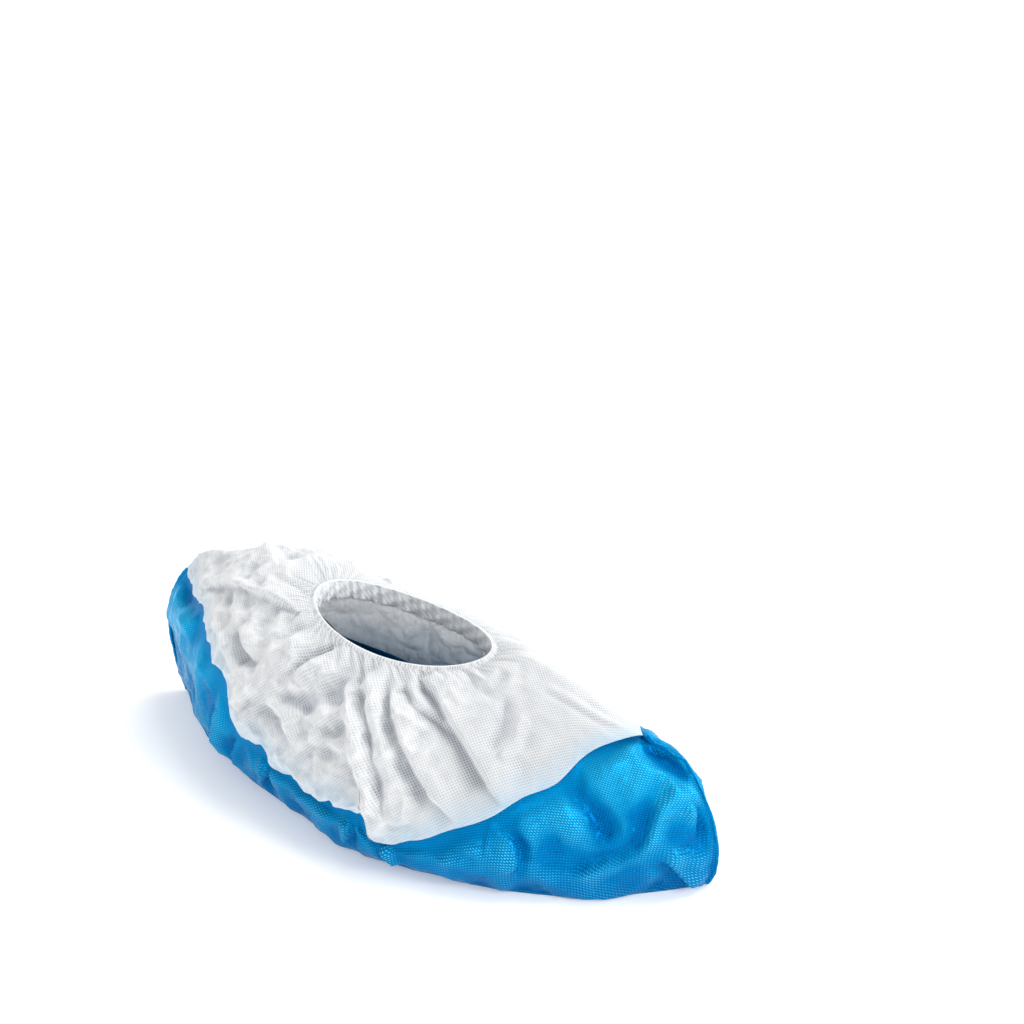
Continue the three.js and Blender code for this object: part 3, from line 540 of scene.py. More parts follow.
def settle(base, seed, grow, loose, lowest, closed, levels):
    """Cloth that is longer than its first folds by grow (along, across) buckles between them.

    base, seed: where the cloth would be if it were smooth, and its first folds, which it keeps.
    loose: 0 where a point is held and 1 where it is free. lowest: the least rise of a point.
    """
    random = np.random.default_rng(SETTLE_SEED)
    moved = np.zeros((2, 2, 3))
    for coarse, rounds, hold, stiff, rough in levels:
        pick = (slice(0, None, coarse), slice(0, None, coarse))
        small = loose[pick].shape
        folded, free = (base + seed)[pick], loose[pick][..., None]
        out = grid_normals(base[pick], closed)
        least = lowest[pick] - (seed[pick] * out).sum(-1)
        moved = finer(moved, small, closed)
        moved = moved + out * (rough * (random.random(small) - 0.5))[..., None] * free
        cut = folded.reshape(-1, 3)
        weight = free.reshape(-1, 1)
        extra = {"along": grow[0][pick].ravel(), "across": grow[1][pick].ravel()}
        extra["both"] = (extra["along"] + extra["across"]) / 2
        sets = []
        for way, a, b in ties(small, closed):
            length = norms(cut[a] - cut[b]) * (1 + (extra[way][a] + extra[way][b]) / 2)
            share = weight[a] + weight[b]
            sets.append((a, b, length[:, None], np.maximum(share, 1e-6), share[:, 0] > 0))
        sets = [(a[k], b[k], n[k], s[k]) for a, b, n, s, k in sets]
        for _ in range(rounds):
            point = cut + moved.reshape(-1, 3)
            for a, b, length, share in sets:
                gap = point[a] - point[b]
                now = np.maximum(norms(gap), TINY)[:, None]
                gap *= (now - length) / (now * share)
                point[a] -= weight[a] * gap
                point[b] += weight[b] * gap
            moved = (point - cut).reshape(*small, 3)
            bend = np.zeros_like(moved)
            if closed:
                bend += (np.roll(moved, 1, 0) + np.roll(moved, -1, 0)) / 2 - moved
            else:
                bend[1:-1] += (moved[2:] + moved[:-2]) / 2 - moved[1:-1]
            bend[:, 1:-1] += (moved[:, 2:] + moved[:, :-2]) / 2 - moved[:, 1:-1]
            moved += (bend * stiff - moved * hold) * free
            rise = (moved * out).sum(-1)
            moved += out * (np.maximum(rise, least) - rise)[..., None] * free
    return base + seed + moved


# Meshes
def grid_quads(number, closed):
    """The four corners of each cell of a grid of numbers."""
    following = np.roll(number, -1, 0) if closed else number[1:]
    here = number if closed else number[:-1]
    corners = [here[:, :-1], here[:, 1:], following[:, 1:], following[:, :-1]]
    return np.stack([c.ravel() for c in corners], 1)


def wall_mesh(name, points, thickness, closed, values, flat):
    """A closed wall from a grid of points on its outside, with values and flat places at each.

    Points that share a place become one. A value named inside marks the wall's inner face.
    """
    rows, columns = points.shape[:2]
    normal = grid_normals(points, closed)
    places = np.round(points.reshape(-1, 3) * PLACES_PER_MM).astype(np.int64)
    _, first, number = np.unique(places, axis=0, return_index=True, return_inverse=True)
    number = number.reshape(rows, columns)
    outside = points.reshape(-1, 3)[first]
    quads = grid_quads(number, closed)
    quad_places = grid_quads(np.arange(rows * columns).reshape(rows, columns), closed)
    sums = np.zeros_like(outside)
    np.add.at(sums, number.ravel(), normal.reshape(-1, 3))
    inside = outside - unit(sums) * thickness
    count = len(outside)
    apart = norms(outside[quads[:, :2]] - outside[quads[:, 2:]])
    first_way = (apart[:, 0] <= apart[:, 1])[:, None, None]
    halves = np.where(first_way, [[[0, 1, 2], [0, 2, 3]]], [[[0, 1, 3], [1, 2, 3]]]).reshape(-1, 6)
    faces, face_places, inner = [], [], []
    edges = {}
    split = [np.take_along_axis(q, halves, 1).reshape(-1, 3).tolist() for q in (quads, quad_places)]
    for face, spot in zip(*split):
        if len(set(face)) < 3:
            continue
        faces += [face, [n + count for n in reversed(face)]]
        face_places += [spot, spot[::-1]]
        inner += [0, 1]
        for k in range(3):
            pair = (face[k - 1], face[k])
            if edges.pop(pair[::-1], None) is None:
                edges[pair] = (spot[k - 1], spot[k])
    for (a, b), (p, q) in edges.items():
        faces.append([b, a, a + count, b + count])
        face_places.append([q, p, p, q])
        inner.append(0)
    both = np.concatenate([outside, inside])
    return make_mesh(name, both, faces, face_places, inner, values, flat)


def new_object(name, data):
    made = bpy.data.objects.new(name, data)
    bpy.context.scene.collection.objects.link(made)
    return made


def make_mesh(name, points, faces, face_places, inner, values, flat):
    """A smooth-shaded mesh. Each face corner has its flat place in metres and its values."""
    mesh = bpy.data.meshes.new(name)
    mesh.from_pydata((np.asarray(points) * MM).tolist(), [], faces)
    mesh.shade_smooth()
    spots = np.concatenate([np.asarray(p) for p in face_places])
    uv = mesh.uv_layers.new(name="flat")
    uv.data.foreach_set("uv", (flat.reshape(-1, 2)[spots] * MM).ravel())
    corners = [len(f) for f in faces]
    attributes = {key: value.ravel()[spots] for key, value in values.items()}
    attributes["inside"] = np.repeat(np.asarray(inner, float), corners)
    for key, value in attributes.items():
        layer = mesh.attributes.new(key, "FLOAT", "CORNER")
        layer.data.foreach_set("value", value.astype(np.float32))
    mesh.validate()
    return new_object(name, mesh)


# The upper
def run_lengths(line):
    """The length along a line of points from its start to each of them."""
    return np.concatenate([[0], np.cumsum(norms(np.diff(line, axis=0)))])


def ray_angles():
    """Angles of the rays on one side, which share out the lengths of both edges evenly."""
    angle = np.linspace(0, 180, 721)
    low = form(edge_station(angle), -edge_near(angle))
    high = opening(angle)[0]
    step = sum(norms(np.diff(line, axis=0)) for line in (low, high))
    length = np.concatenate([[0], np.cumsum(step)])
    return np.interp(np.linspace(0, length[-1], RAYS // 2 + 1), length, angle)


def upper_grid():
    """Where the upper would be if it were smooth: angles of the rays, and each point's place,
    station, turn and share of the way from the opening to the lower edge."""
    side = ray_angles()
    angles = np.concatenate([-side[:0:-1], side[:-1]])
    at, out = opening(angles)
    start = at + out * (ROLL + 0.3)
    start[:, 2] -= 0.5
    share = np.linspace(0, 1, RINGS)[None, :] ** 1.15
    from_station, from_turn = place_above(start[:, 0], start[:, 1])
    draw = start - form(from_station, from_turn)
    low = np.abs(angles)
    near = (angles < 0)[:, None]
    end_turn = np.where(near, -edge_near(low)[:, None], edge_far(low)[:, None])
    hang = np.where(near, -edge_hang(low)[:, None], 0)
    station = mix(from_station[:, None], edge_station(low)[:, None], 1 - (1 - share) ** 1.5)
    turn = mix(from_turn[:, None], end_turn, share) + hang * smooth(0.6, 1, share)
    end = form(edge_station(low), end_turn[:, 0])
    uneven = noise(end, 9, 11) + 0.7 * noise(end, 3.5, 12)
    ragged = 0.022 * uneven * (1 - smooth(20, 60, end[:, 0])) * smooth(-150, -130, end[:, 0])
    turn = turn + (np.sign(end_turn[:, 0]) * ragged)[:, None] * smooth(0.8, 1, share)
    pull = np.clip(1 - share / 0.42, 0, None) ** 2
    points = form(station, turn) + draw[:, None] * pull[..., None]
    return angles, points, station, turn, np.broadcast_to(share, turn.shape)


def lip_points(angles):
    """The rolled edge that the upper makes over the elastic, from inside the opening outwards."""
    at, out = opening(angles)
    points = at[:, None] + out[:, None] * LIP[:, :1]
    points[..., 2] += LIP[:, 1]
    return points


def hollowness(points, base, closed):
    """How far each point lies below those round it, from -1 on a crest to 1 in a hollow."""
    rise = ((points - base) * grid_normals(base, closed)).sum(-1)
    return np.clip((blurred(rise, 60, closed) - blurred(rise, 2, closed)) / 2, -1, 1)


def make_upper():
    """The upper: first smooth, then folded and lumpy, then settled."""
    angles, base, station, turn, share = upper_grid()
    x, y = base[..., 0], base[..., 1]
    # The heel half is crumpled, the toe half hardly, and the far side is calm near the opening
    spread = smooth(0.05, 0.3, share)
    crumpled = 1 - TOE_CALM * smooth(25, 75, x)
    creased = spread * (LEAST_CREASED + (1 - LEAST_CREASED) * crumpled)
    calm_far = 1 - FAR_CALM * smooth(5, 25, y) * (1 - smooth(0.25, 0.5, share))
    out = grid_normals(base, True)
    folds = UPPER_FOLD_SCALE * fold_rise(base, out, UPPER_FOLDS)
    folds = folds + UPPER_FOLD_SCALE * hollow_rise(base, UPPER_HOLLOWS)
    folds *= smooth(0, 0.08, share) * (1 - EDGE_CALM * smooth(0.92, 1, share))
    folds *= calm_far
    lumps = crumples(base, UPPER_CRUMPLES, UPPER_CRUMPLE_MIDDLE) * creased * calm_far
    # Spare cloth: gathered along the rim, some in the crumples, and a little everywhere
    gather = calm_far * np.exp(-((share / GATHER_DEPTH) ** 2))
    calm_toe = 1 - RIM_TOE_CALM * smooth(60, 100, x)
    grow_along = GATHERED * gather * calm_toe + 0.04 * crumpled * spread + 0.006
    grow_across = 0.03 * crumpled * spread + 0.004
    loose = smooth(0.0, 0.03, share) * smooth(0, 0.02, 1 - share)
    # Above the lap the upper keeps off the film
    lowest = mix(NO_FLOOR, -0.1, smooth(0.64, 0.84, share))
    seed = out * np.maximum(folds + lumps, lowest)[..., None]
    grow = (grow_along, grow_across)
    points = settle(base, seed, grow, loose, lowest, True, UPPER_LEVELS)
    # The two sides are joined down the heel, where their edges run side by side
    other = -np.arange(RAYS) % RAYS
    joined = smooth(-0.975, -0.995, station[:, -1])[:, None]
    gap = (points[other, -1] - points[:, -1]) / 2 * joined
    points = points + gap[:, None] * smooth(0.88, 1, share)[..., None]
    hollow = hollowness(points, base, True)
    lip = lip_points(angles)
    points = np.concatenate([lip, points], 1)
    lead = np.linspace(-2.5, -0.4, len(LIP))[None, :]
    flat = np.stack([x, girth(station, turn)], -1)
    flat = np.concatenate([flat[:, :1] + 0 * lead[..., None], flat], 1)
    blank = np.zeros(lip.shape[:2])
    values = {"share": share, "hollow": hollow, "creased": creased}
    values = {key: np.concatenate([blank, value], 1) for key, value in values.items()}
    return wall_mesh("upper_cloth", points, CLOTH, True, values, flat)


# The film
def covered_turn(station, near):
    """The least and the greatest turn down to which the upper covers the film about a station."""
    reach = np.where(station < 0.5, EDGE_REACH, 0)

    def covers(at):
        return np.where(near, edge_near_at(at) + edge_hang_at(at), edge_far_at(at))

    turns = [covers(station + way * reach) for way in (-1, 0, 1)]
    turns = np.where(station >= TIP_STATION, 0, turns)
    return turns.min(axis=0), turns.max(axis=0)


def film_side(station, near):
    """One side of the film from the lap down to the middle of the sole."""
    least, edge = (turn[:, None] for turn in covered_turn(station, near))
    lap = mix(LAP_TURN_AT_HEEL, LAP_TURN, smooth(-0.92, -0.7, station))[:, None]
    top = np.maximum(0, least - lap)
    lap_end = np.maximum(top, edge)
    down = np.linspace(0, 1, WALL_ROWS + 1)[None, :]
    lap_turns = mix(top, lap_end, np.linspace(0, 1, LAP_ROWS, endpoint=False)[None, :])
    under = np.broadcast_to(np.linspace(2, 3, SOLE_ROWS + 1)[1:], (len(station), SOLE_ROWS))
    turns = np.concatenate([lap_turns, mix(lap_end, 2, down), under], 1)
    return turns, np.broadcast_to(edge, turns.shape)


def make_film():
    """The film: both sides and the sole in one sheet, from lap to lap, loose above the sole."""
    even = np.linspace(-1, 1, FILM_STATIONS)
    station = even * 0.85 + np.sin(even * math.pi / 2) * 0.15
    near_turn, near_edge = film_side(station, True)
    far_turn, far_edge = film_side(station, False)
    turn = np.concatenate([-near_turn, far_turn[:, -2::-1]], 1)
    edge = np.concatenate([near_edge, far_edge[:, -2::-1]], 1)
    stations = np.broadcast_to(station[:, None], turn.shape)
    base = form(stations, turn)
    around = np.abs(turn)
    # Under the lap the film is held, and lies deeper than the upper. Over the sole it is flat.
    below = np.maximum(around - edge, (stations - TIP_STATION) * 3)
    free = smooth(0.01, 0.16, below)
    beside = np.where(stations > TIP_STATION, smooth(0, 0.15, around), 1)
    inward = smooth(0, 0.02, 1 - np.abs(stations))
    on_floor = smooth(1.6, 1.95, around)
    loose = free * beside * inward
    depth = LAP_DEPTH * smooth(-1.0, -0.95, stations)
    lumps = crumples(base, FILM_CRUMPLES, FILM_CRUMPLE_MIDDLE)
    out = grid_normals(base, False)
    folds = FILM_FOLD_SCALE * fold_rise(base, out, FILM_FOLDS)
    rise = loose * (1 - on_floor) * (folds + lumps) - depth * (1 - free)
    seed = out * rise[..., None]
    loose = loose * (1 - SOLE_CALM * on_floor)
    grow = FILM_SPARE * loose * (1 - on_floor)
    lowest = np.where(around > 1.9, 0.0, NO_FLOOR)
    points = settle(base, seed, (grow, grow), loose, lowest, False, FILM_LEVELS)
    points[..., 2] = np.maximum(points[..., 2], 0)
    flat = np.stack([base[..., 0], girth(stations, turn)], -1)
    values = {"share": around, "hollow": hollowness(points, base, False), "creased": loose}
    return wall_mesh("embossed_film", points, FILM, False, values, flat)


def flat_places(lengths, widths):
    """Flat places from the lengths along a strip and the widths across it."""
    return np.stack(np.broadcast_arrays(lengths[:, None], widths[None, :]), -1)


def no_values(flat):
    """Values for a piece that is nowhere lapped, hollow or creased."""
    return {name: np.zeros(flat.shape[:2]) for name in ("share", "hollow")}


# The elastic hem: the upper's own cloth, turned in over the elastic and hanging inside
def make_hem():
    angles = np.arange(RAYS) * 360 / RAYS
    at, out = opening(angles)
    down = np.linspace(0, 1, BAND_RINGS)
    level = BAND_TOP - down * (BAND_DEPTH + BAND_TOP)
    section = np.stack([-0.55 - 0.35 * np.sin(down * math.pi), level], -1)
    phase = np.radians(angles)
    rings = []
    for away, up in section:
        wave = 0.4 * np.sin(38 * phase + 3 * np.sin(5 * phase)) + 0.3 * np.sin(67 * phase + 1.3)
        wave += 0.35 * np.sin(23 * phase + up * 0.9) + 0.2 * np.sin(91 * phase - up * 1.7)
        ring = at + out * (away + wave * min(1, -(up - BAND_TOP) / 4))[:, None]
        ring[:, 2] += up
        rings.append(ring)
    points = np.stack(rings[::-1], 1)
    flat = flat_places(run_lengths(at), -section[::-1, 1])
    return wall_mesh("hem_band", points, BAND, True, no_values(flat), flat)


# Welds: a thin crimped fin of film along the line where the sides meet
def make_weld(name, stations, turns, peak):
    """A fin that stands out of the line at stations and turns, with a peak where it starts and
    a lower one a little way on."""
    line = form(stations, turns)
    run = unit(np.gradient(line, axis=0))
    out = np.stack([-run[:, 2], 0 * run[:, 0], run[:, 0]], 1)
    length = run_lengths(line)
    rings = []
    shares = np.linspace(0, 1, WELD_ROWS)
    tall = WELD_SHOWN + 0.12 * np.sin(length / 2.3) + 0.1 * np.sin(length / 0.9 + 1)
    tall = tall + peak * np.clip(1 - length / 4, 0, None)
    tall = tall + 0.7 * peak * np.clip(1 - np.abs(length - 9) / 3.5, 0, None)
    for share in shares:
        ring = line + out * (-WELD_HIDDEN + (tall + WELD_HIDDEN) * share)[:, None]
        ring[:, 1] += share * (0.2 * np.sin(length / 3.1) + 0.1 * np.sin(length / 1.3))
        ring[:, 2] = np.maximum(ring[:, 2], WELD_LOWEST)
        rings.append(ring)
    points = np.stack(rings, 1)
    points[..., 1] -= WELD / 2
    flat = flat_places(length, shares * WELD_OUT)
    return wall_mesh(name, points, WELD, False, no_values(flat), flat)


def make_welds():
    top = np.linspace(0.895, 0.985, 12)
    down = np.linspace(0, SOLE_EDGE, 90)
    stations = np.concatenate([top, np.ones_like(down)])
    turns = np.concatenate([np.zeros_like(top), down])
    toe = make_weld("toe_weld", stations, turns, 2.0)
    up = np.linspace(SOLE_EDGE, 0.42, 80)
    heel = make_weld("heel_weld", -np.ones_like(up), up, 0)
    return toe, heel


# Materials
def new_material(name):
    made = bpy.data.materials.new(name)
    made.use_nodes = True
    return made, made.node_tree, made.node_tree.nodes["Principled BSDF"]


def connect(tree, node, inputs):
    """Gives each named input of a node a value or another node's socket."""
    for key, value in inputs.items():
        if isinstance(value, bpy.types.NodeSocket):
            tree.links.new(value, node.inputs[key])
        else:
            node.inputs[key].default_value = value
    return node


def add(tree, kind, inputs, **settings):
    node = tree.nodes.new("ShaderNode" + kind)
    for key, value in settings.items():
        setattr(node, key, value)
    return connect(tree, node, inputs)


def maths(tree, operation, first, second=0.0, third=0.0):
    inputs = {0: first, 1: second, 2: third}
    return add(tree, "Math", inputs, operation=operation).outputs[0]


def times(tree, first, second):
    return maths(tree, "MULTIPLY", first, second)


def ways(tree, operation, first, second, output="Vector"):
    """Maths on two vectors."""
    node = add(tree, "VectorMath", {0: first, 1: second}, operation=operation)
    return node.outputs[output]


def ramp(tree, value, start, end, low=0.0, high=1.0, **settings):
    """A value brought from the range start to end to the range low to high."""
    inputs = {"Value": value, "From Min": start, "From Max": end, "To Min": low, "To Max": high}
    return add(tree, "MapRange", inputs, **settings).outputs[0]


def colour(value):
    """Three numbers become a colour, and a node's socket stays as it is."""
    return value if isinstance(value, bpy.types.NodeSocket) else (*value, 1)


def blend(tree, factor, first, second):
    inputs = {0: factor, 6: colour(first), 7: colour(second)}
    return add(tree, "Mix", inputs, data_type="RGBA").outputs[2]


def attribute(tree, name):
    return add(tree, "Attribute", {}, attribute_name=name).outputs["Fac"]


def position(tree):
    """The place on the object, in metres, and its height."""
    spot = add(tree, "TexCoord", {}).outputs["Object"]
    return spot, add(tree, "SeparateXYZ", {0: spot}).outputs["Z"]


def flat_place(tree, across, along):
    """The flat place on the sheet, turned by 45 degrees, with one unit for each repeat, in mm."""
    inputs = {
        "Vector": add(tree, "UVMap", {}, uv_map="flat").outputs[0],
        "Rotation": (0, 0, math.radians(45)),
        "Scale": (1 / (across * MM), 1 / (along * MM), 1),
    }
    return add(tree, "Mapping", inputs, vector_type="POINT").outputs[0]


def spots(tree, place, inner, outer):
    """1 within inner of the middle of each repeat, and 0 beyond outer."""
    inputs = {"Vector": place, "Scale": 1.0, "Randomness": 0.0}
    cell = add(tree, "TexVoronoi", inputs, voronoi_dimensions="2D", feature="F1")
    return ramp(tree, cell.outputs["Distance"], outer, inner, interpolation_type="SMOOTHSTEP")


def fine(tree, place, scale, detail=2.0):
    inputs = {"Vector": place, "Scale": scale, "Detail": detail, "Roughness": 0.6}
    return add(tree, "TexNoise", inputs).outputs["Fac"]


def creases(tree, spot, size):
    """Crumpling with sharp crests, of a size in mm, where the sheet is creased."""
    bent = add(tree, "TexNoise", {"Vector": spot, "Scale": 90.0}).outputs["Color"]
    bent = ways(tree, "MULTIPLY", bent, (CREASE_BEND,) * 3)
    place = ways(tree, "ADD", spot, bent)
    inputs = {"Vector": place, "Scale": 1 / (size * MM), "Detail": 1.0, "Roughness": 0.4}
    crest = add(tree, "TexVoronoi", inputs, feature="F1").outputs["Distance"]
    return times(tree, crest, attribute(tree, "creased"))


def bump(tree, height, strength):
    inputs = {"Height": height, "Strength": strength, "Distance": BUMP_HEIGHT}
    return add(tree, "Bump", inputs).outputs[0]


CREASE_BEND = 0.006
BUMP_HEIGHT = 0.00025
DOT_PITCH = 1.15
DASH_PITCH = (1.6, 0.85)
# Painted highlight: the cloth is lighter along its crease crests
PAINTED_CREST_HIGHLIGHT = (0.86, 0.865, 0.87)
# Painted shade: the cloth is greyer in its hollows
PAINTED_HOLLOW_SHADE = (0.48, 0.51, 0.56)
DOT_COLOUR = (0.27, 0.3, 0.33)
CLOUD_COLOUR = (0.66, 0.68, 0.71)
LAP_COLOUR = (0.32, 0.55, 0.74)
# Painted shade: the cloth's inner face darkens towards the sole
PAINTED_SOLE_SHADE = (0.03, 0.09, 0.15)


def nonwoven(name, face, inner_painted_light_and_shade, marked):
    """Thin spunbond cloth: bonded dots in a staggered grid, and fibres.

    The bonded dots are greyer, and the lap with the film is bluish, because the cloth lets what
    is behind it show. Painted shade makes the hollows greyer and the dots plainer in them, and
    painted highlight makes the crease crests lighter and the dots fainter on them.
    inner_painted_light_and_shade is the pair of colours of the inner face, painted lighter and
    bluer than the outer face as light coming through the cloth and film, and lighter on crests
    as painted highlight; the inner face darkens towards the sole as painted shade. marked is how
    plain the dots are on flat cloth.
    """
    made, tree, shader = new_material(name)
    dots = spots(tree, flat_place(tree, DOT_PITCH, DOT_PITCH), 0.2, 0.42)
    spot, level = position(tree)
    fibre = fine(tree, spot, 900, 3.0)
    cloud = fine(tree, spot, 140)
    hollow = maths(tree, "MAXIMUM", attribute(tree, "hollow"), 0.0)
    lap = ramp(tree, attribute(tree, "share"), 0.76, 0.98, 0.0, 0.9)
    crest = creases(tree, spot, 7)
    # The bonded dots are the cloth's own pattern, but painted shade makes them plainer in the
    # hollows and painted highlight makes them fainter on crease crests
    low = maths(tree, "MULTIPLY_ADD", crest, -0.7, 1.0)
    dot_strength_with_painted_shade = times(tree, maths(tree, "MULTIPLY_ADD", hollow, 0.8, marked), low)
    # Painted highlight on the crease crests
    outer = blend(tree, maths(tree, "POWER", crest, 2.0), face, PAINTED_CREST_HIGHLIGHT)
    # Painted shade in the hollows
    outer = blend(tree, times(tree, hollow, 0.6), outer, PAINTED_HOLLOW_SHADE)
    outer = blend(tree, times(tree, dots, dot_strength_with_painted_shade), outer, DOT_COLOUR)
    outer = blend(tree, times(tree, cloud, 0.1), outer, CLOUD_COLOUR)
    outer = blend(tree, times(tree, lap, cloud), outer, LAP_COLOUR)
    # The inner face, in colours painted lighter and bluer than the outer face as light coming
    # through the cloth and film, and lighter on crease crests as painted highlight
    inner = blend(tree, times(tree, crest, 1.6), *inner_painted_light_and_shade)
    # Painted shade: the inner face darkens towards the sole
    inner = blend(tree, ramp(tree, level, 0.058, 0.018), inner, PAINTED_SOLE_SHADE)
    height = maths(tree, "ADD", times(tree, dots, -0.6), times(tree, fibre, 0.5))
    height = maths(tree, "MULTIPLY_ADD", crest, 14.0, height)
    looks = {
        "Base Color": blend(tree, attribute(tree, "inside"), outer, inner),
        "Roughness": 0.92,
        "Specular IOR Level": 0.25,
        "Sheen Weight": 0.1,
        "Subsurface Weight": 1.0,
        "Subsurface Radius": (1, 1, 1),
        "Subsurface Scale": 0.001,
        "Normal": bump(tree, height, 0.5),
    }
    connect(tree, shader, looks)
    return made


def film_material(name, inner_painted_light_and_shade):
    """Glossy blue film, embossed with short dashes, and a little uneven in colour. Painted shade
    makes it darker in its hollows and towards the floor, painted highlight lighter on its crests,
    and the dashes are painted as lighter, cyan glints. inner_painted_light_and_shade is the colour
    of the inner face, painted darker than the outer face as shade."""
    made, tree, shader = new_material(name)
    dashes = spots(tree, flat_place(tree, *DASH_PITCH), 0.05, 0.4)
    spot, level = position(tree)
    hollow = attribute(tree, "hollow")
    painted_film_hollow_shade = ramp(tree, hollow, -0.1, 1.0, 0.0, 0.85)
    high = ramp(tree, hollow, 0.2, -0.8)
    low = ramp(tree, level, 0.05, 0.005)
    shade = blend(tree, fine(tree, spot, 45), (0.0, 0.17, 0.42), (0.0, 0.26, 0.53))
    # Painted shade in the hollows
    shade = blend(tree, painted_film_hollow_shade, shade, (0.0, 0.09, 0.34))
    # Painted highlight on the crests
    shade = blend(tree, times(tree, high, 0.4), shade, (0.0, 0.42, 0.76))
    # Painted shade towards the floor
    shade = blend(tree, times(tree, low, 0.8), shade, (0.0, 0.1, 0.32))
    # The embossed dashes are painted lighter, as cyan glints, and brighter still on the crests
    painted_dash_glint = blend(tree, high, (0.0, 0.36, 0.72), (0.12, 0.7, 0.96))
    shade = blend(tree, times(tree, dashes, 0.8), shade, painted_dash_glint)
    height = maths(tree, "ADD", dashes, times(tree, fine(tree, spot, 700), 0.5))
    height = maths(tree, "MULTIPLY_ADD", creases(tree, spot, 12), 9.0, height)
    looks = {
        "Base Color": blend(tree, attribute(tree, "inside"), shade, inner_painted_light_and_shade),
        "Roughness": maths(tree, "MULTIPLY_ADD", fine(tree, spot, 120), 0.2, 0.12),
        "Metallic": 0.3,
        "Specular IOR Level": 0.05,
        "Specular Tint": (0.25, 0.75, 1, 1),
        "Normal": bump(tree, height, 0.9),
    }
    connect(tree, shader, looks)
    return made


def plain_floor(name):
    """Matt and nearly white, and glowing from within as painted light: faintly near the object,
    which lightens its shadow, and more far from it, as a paper sweep looks.
    """
    made, tree, shader = new_material(name)
    spot = add(tree, "TexCoord", {}).outputs["Object"]
    far = ways(tree, "LENGTH", spot, (0, 0, 0), "Value")
    looks = {
        "Base Color": blend(tree, fine(tree, spot, 3), (0.9, 0.905, 0.91), (0.92, 0.92, 0.92)),
        "Roughness": 0.9,
        "Emission Color": (1, 1, 1, 1),
        # Painted glow: faint near the object, which lightens its shadow, and stronger far away
        "Emission Strength": ramp(tree, far, 0.15, 1.2, 0.22, 0.75),
    }
    connect(tree, shader, looks)
    return made


# The studio, in metres: a camera, and soft lights with a name, a place, a size and a power, which
# point at the middle of the object
CAMERA_PLACE = (0.322556, -0.420752, 0.352339)
CAMERA_YAW = 32.0703
CAMERA_PITCH = 21.9
CAMERA_LENS = 43.945
CAMERA_SENSOR = 36
LIGHTS = (
    ("key", (0.35, 0.55, 1.4), 1.0, 14),
    ("side", (1.3, 0.0, 0.8), 0.4, 7.5),
    ("front", (0.3, -1.3, 1.25), 0.6, 4.5),
)
LIGHT_AIM = mathutils.Vector((0, 0, 0.04))
SKY_WAY = (0.25, 0.45, 0.86)
SKY_RANGE = (0.34, 0.72)
FLOOR_RADIUS = 3.0
FLOOR_SIDES = 96
FLOOR_LEVEL = -0.0001


def make_floor():
    """A round paper sweep: flat in the middle, and curving up all round."""
    turns = np.linspace(0, 2 * math.pi, FLOOR_SIDES + 1)[:-1]
    profile = [(0.02, 0), (0.6, 0), (1.5, 0), (FLOOR_RADIUS, 0)]
    rise = np.linspace(0.1, math.pi / 2, 16)
    profile += [(FLOOR_RADIUS + math.sin(a), 1 - math.cos(a)) for a in rise]
    points = []
    for out, z in profile:
        points += [(out * math.cos(t), out * math.sin(t), z + FLOOR_LEVEL) for t in turns]
    faces = [list(range(FLOOR_SIDES))]
    for ring in range(0, FLOOR_SIDES * (len(profile) - 1), FLOOR_SIDES):
        above = ring + FLOOR_SIDES
        for i in range(FLOOR_SIDES):
            j = (i + 1) % FLOOR_SIDES
            faces.append([ring + i, above + i, above + j, ring + j])
    mesh = bpy.data.meshes.new("floor")
    mesh.from_pydata(points, [], faces)
    mesh.shade_smooth()
    return new_object("floor", mesh)


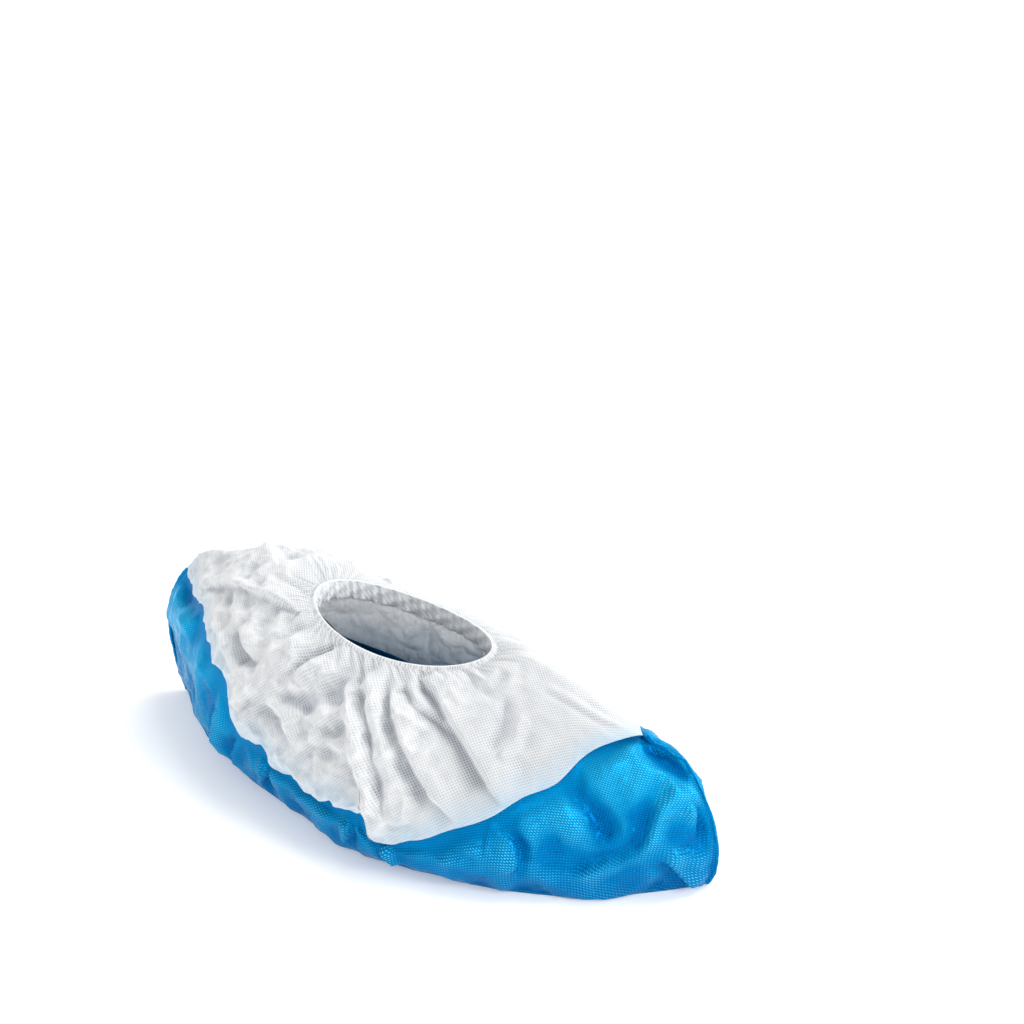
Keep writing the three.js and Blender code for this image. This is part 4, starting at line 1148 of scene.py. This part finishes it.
def make_sky():
    """Even white light that is stronger from above and behind the object than from its front."""
    world = bpy.data.worlds.new("studio")
    world.use_nodes = True
    tree = world.node_tree
    way = add(tree, "TexCoord", {}).outputs["Generated"]
    toward = ways(tree, "DOT_PRODUCT", way, SKY_WAY, "Value")
    strength = ramp(tree, toward, -1.0, 1.0, *SKY_RANGE)
    connect(tree, tree.nodes["Background"], {"Color": (0.97, 0.985, 1, 1), "Strength": strength})
    bpy.context.scene.world = world


def make_studio():
    """The camera, the floor, the sky and the lights."""
    camera = new_object("camera", bpy.data.cameras.new("camera"))
    camera.location = CAMERA_PLACE
    camera.rotation_euler = (math.radians(90 - CAMERA_PITCH), 0, math.radians(CAMERA_YAW))
    camera.data.lens = CAMERA_LENS
    camera.data.sensor_width = CAMERA_SENSOR
    bpy.context.scene.camera = camera
    floor = make_floor()
    floor.data.materials.append(plain_floor("pale_floor"))
    make_sky()
    for name, place, size, power in LIGHTS:
        light = new_object(name, bpy.data.lights.new(name, "AREA"))
        light.data.size = size
        light.data.energy = power
        light.location = place
        light.rotation_euler = (LIGHT_AIM - light.location).to_track_quat("-Z", "Y").to_euler()
    bpy.context.scene.view_settings.view_transform = "Standard"


def dress():
    """Each piece, the node that it replaces, its material and a slot name, which is not used."""
    upper, film, hem = make_upper(), make_film(), make_hem()
    toe, heel = make_welds()
    # The cloth's inner face and both faces of the hem are painted lighter and bluer than the
    # upper's outer face, as light coming through the cloth and film
    inner_painted_light_and_shade = ((0.82, 0.88, 0.93), (0.96, 0.975, 0.985))
    band = ((0.95, 0.96, 0.97), (0.97, 0.975, 0.98))
    cloth = nonwoven("nonwoven", (0.7, 0.705, 0.715), inner_painted_light_and_shade, 0.6)
    hem_cloth = nonwoven("hem_cloth", (0.84, 0.87, 0.89), band, 0.25)
    # Painted shade: the film's inner face is darker than its outer face
    blue = film_material("film", (0.0, 0.1, 0.26))
    welded = film_material("welded_film", (0.0, 0.24, 0.56))
    for piece, node, finish, slot in (
        (upper, "upper", cloth, "nonwoven"),
        (hem, "elastic_hem", hem_cloth, "hem"),
        (film, "film_sole", blue, "film"),
        (toe, "toe_seam", welded, "weld"),
        (heel, "heel_seam", welded, "weld"),
    ):
        piece.data.materials.append(finish)
        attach(piece, "root")
        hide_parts(node)


make_studio()
dress()
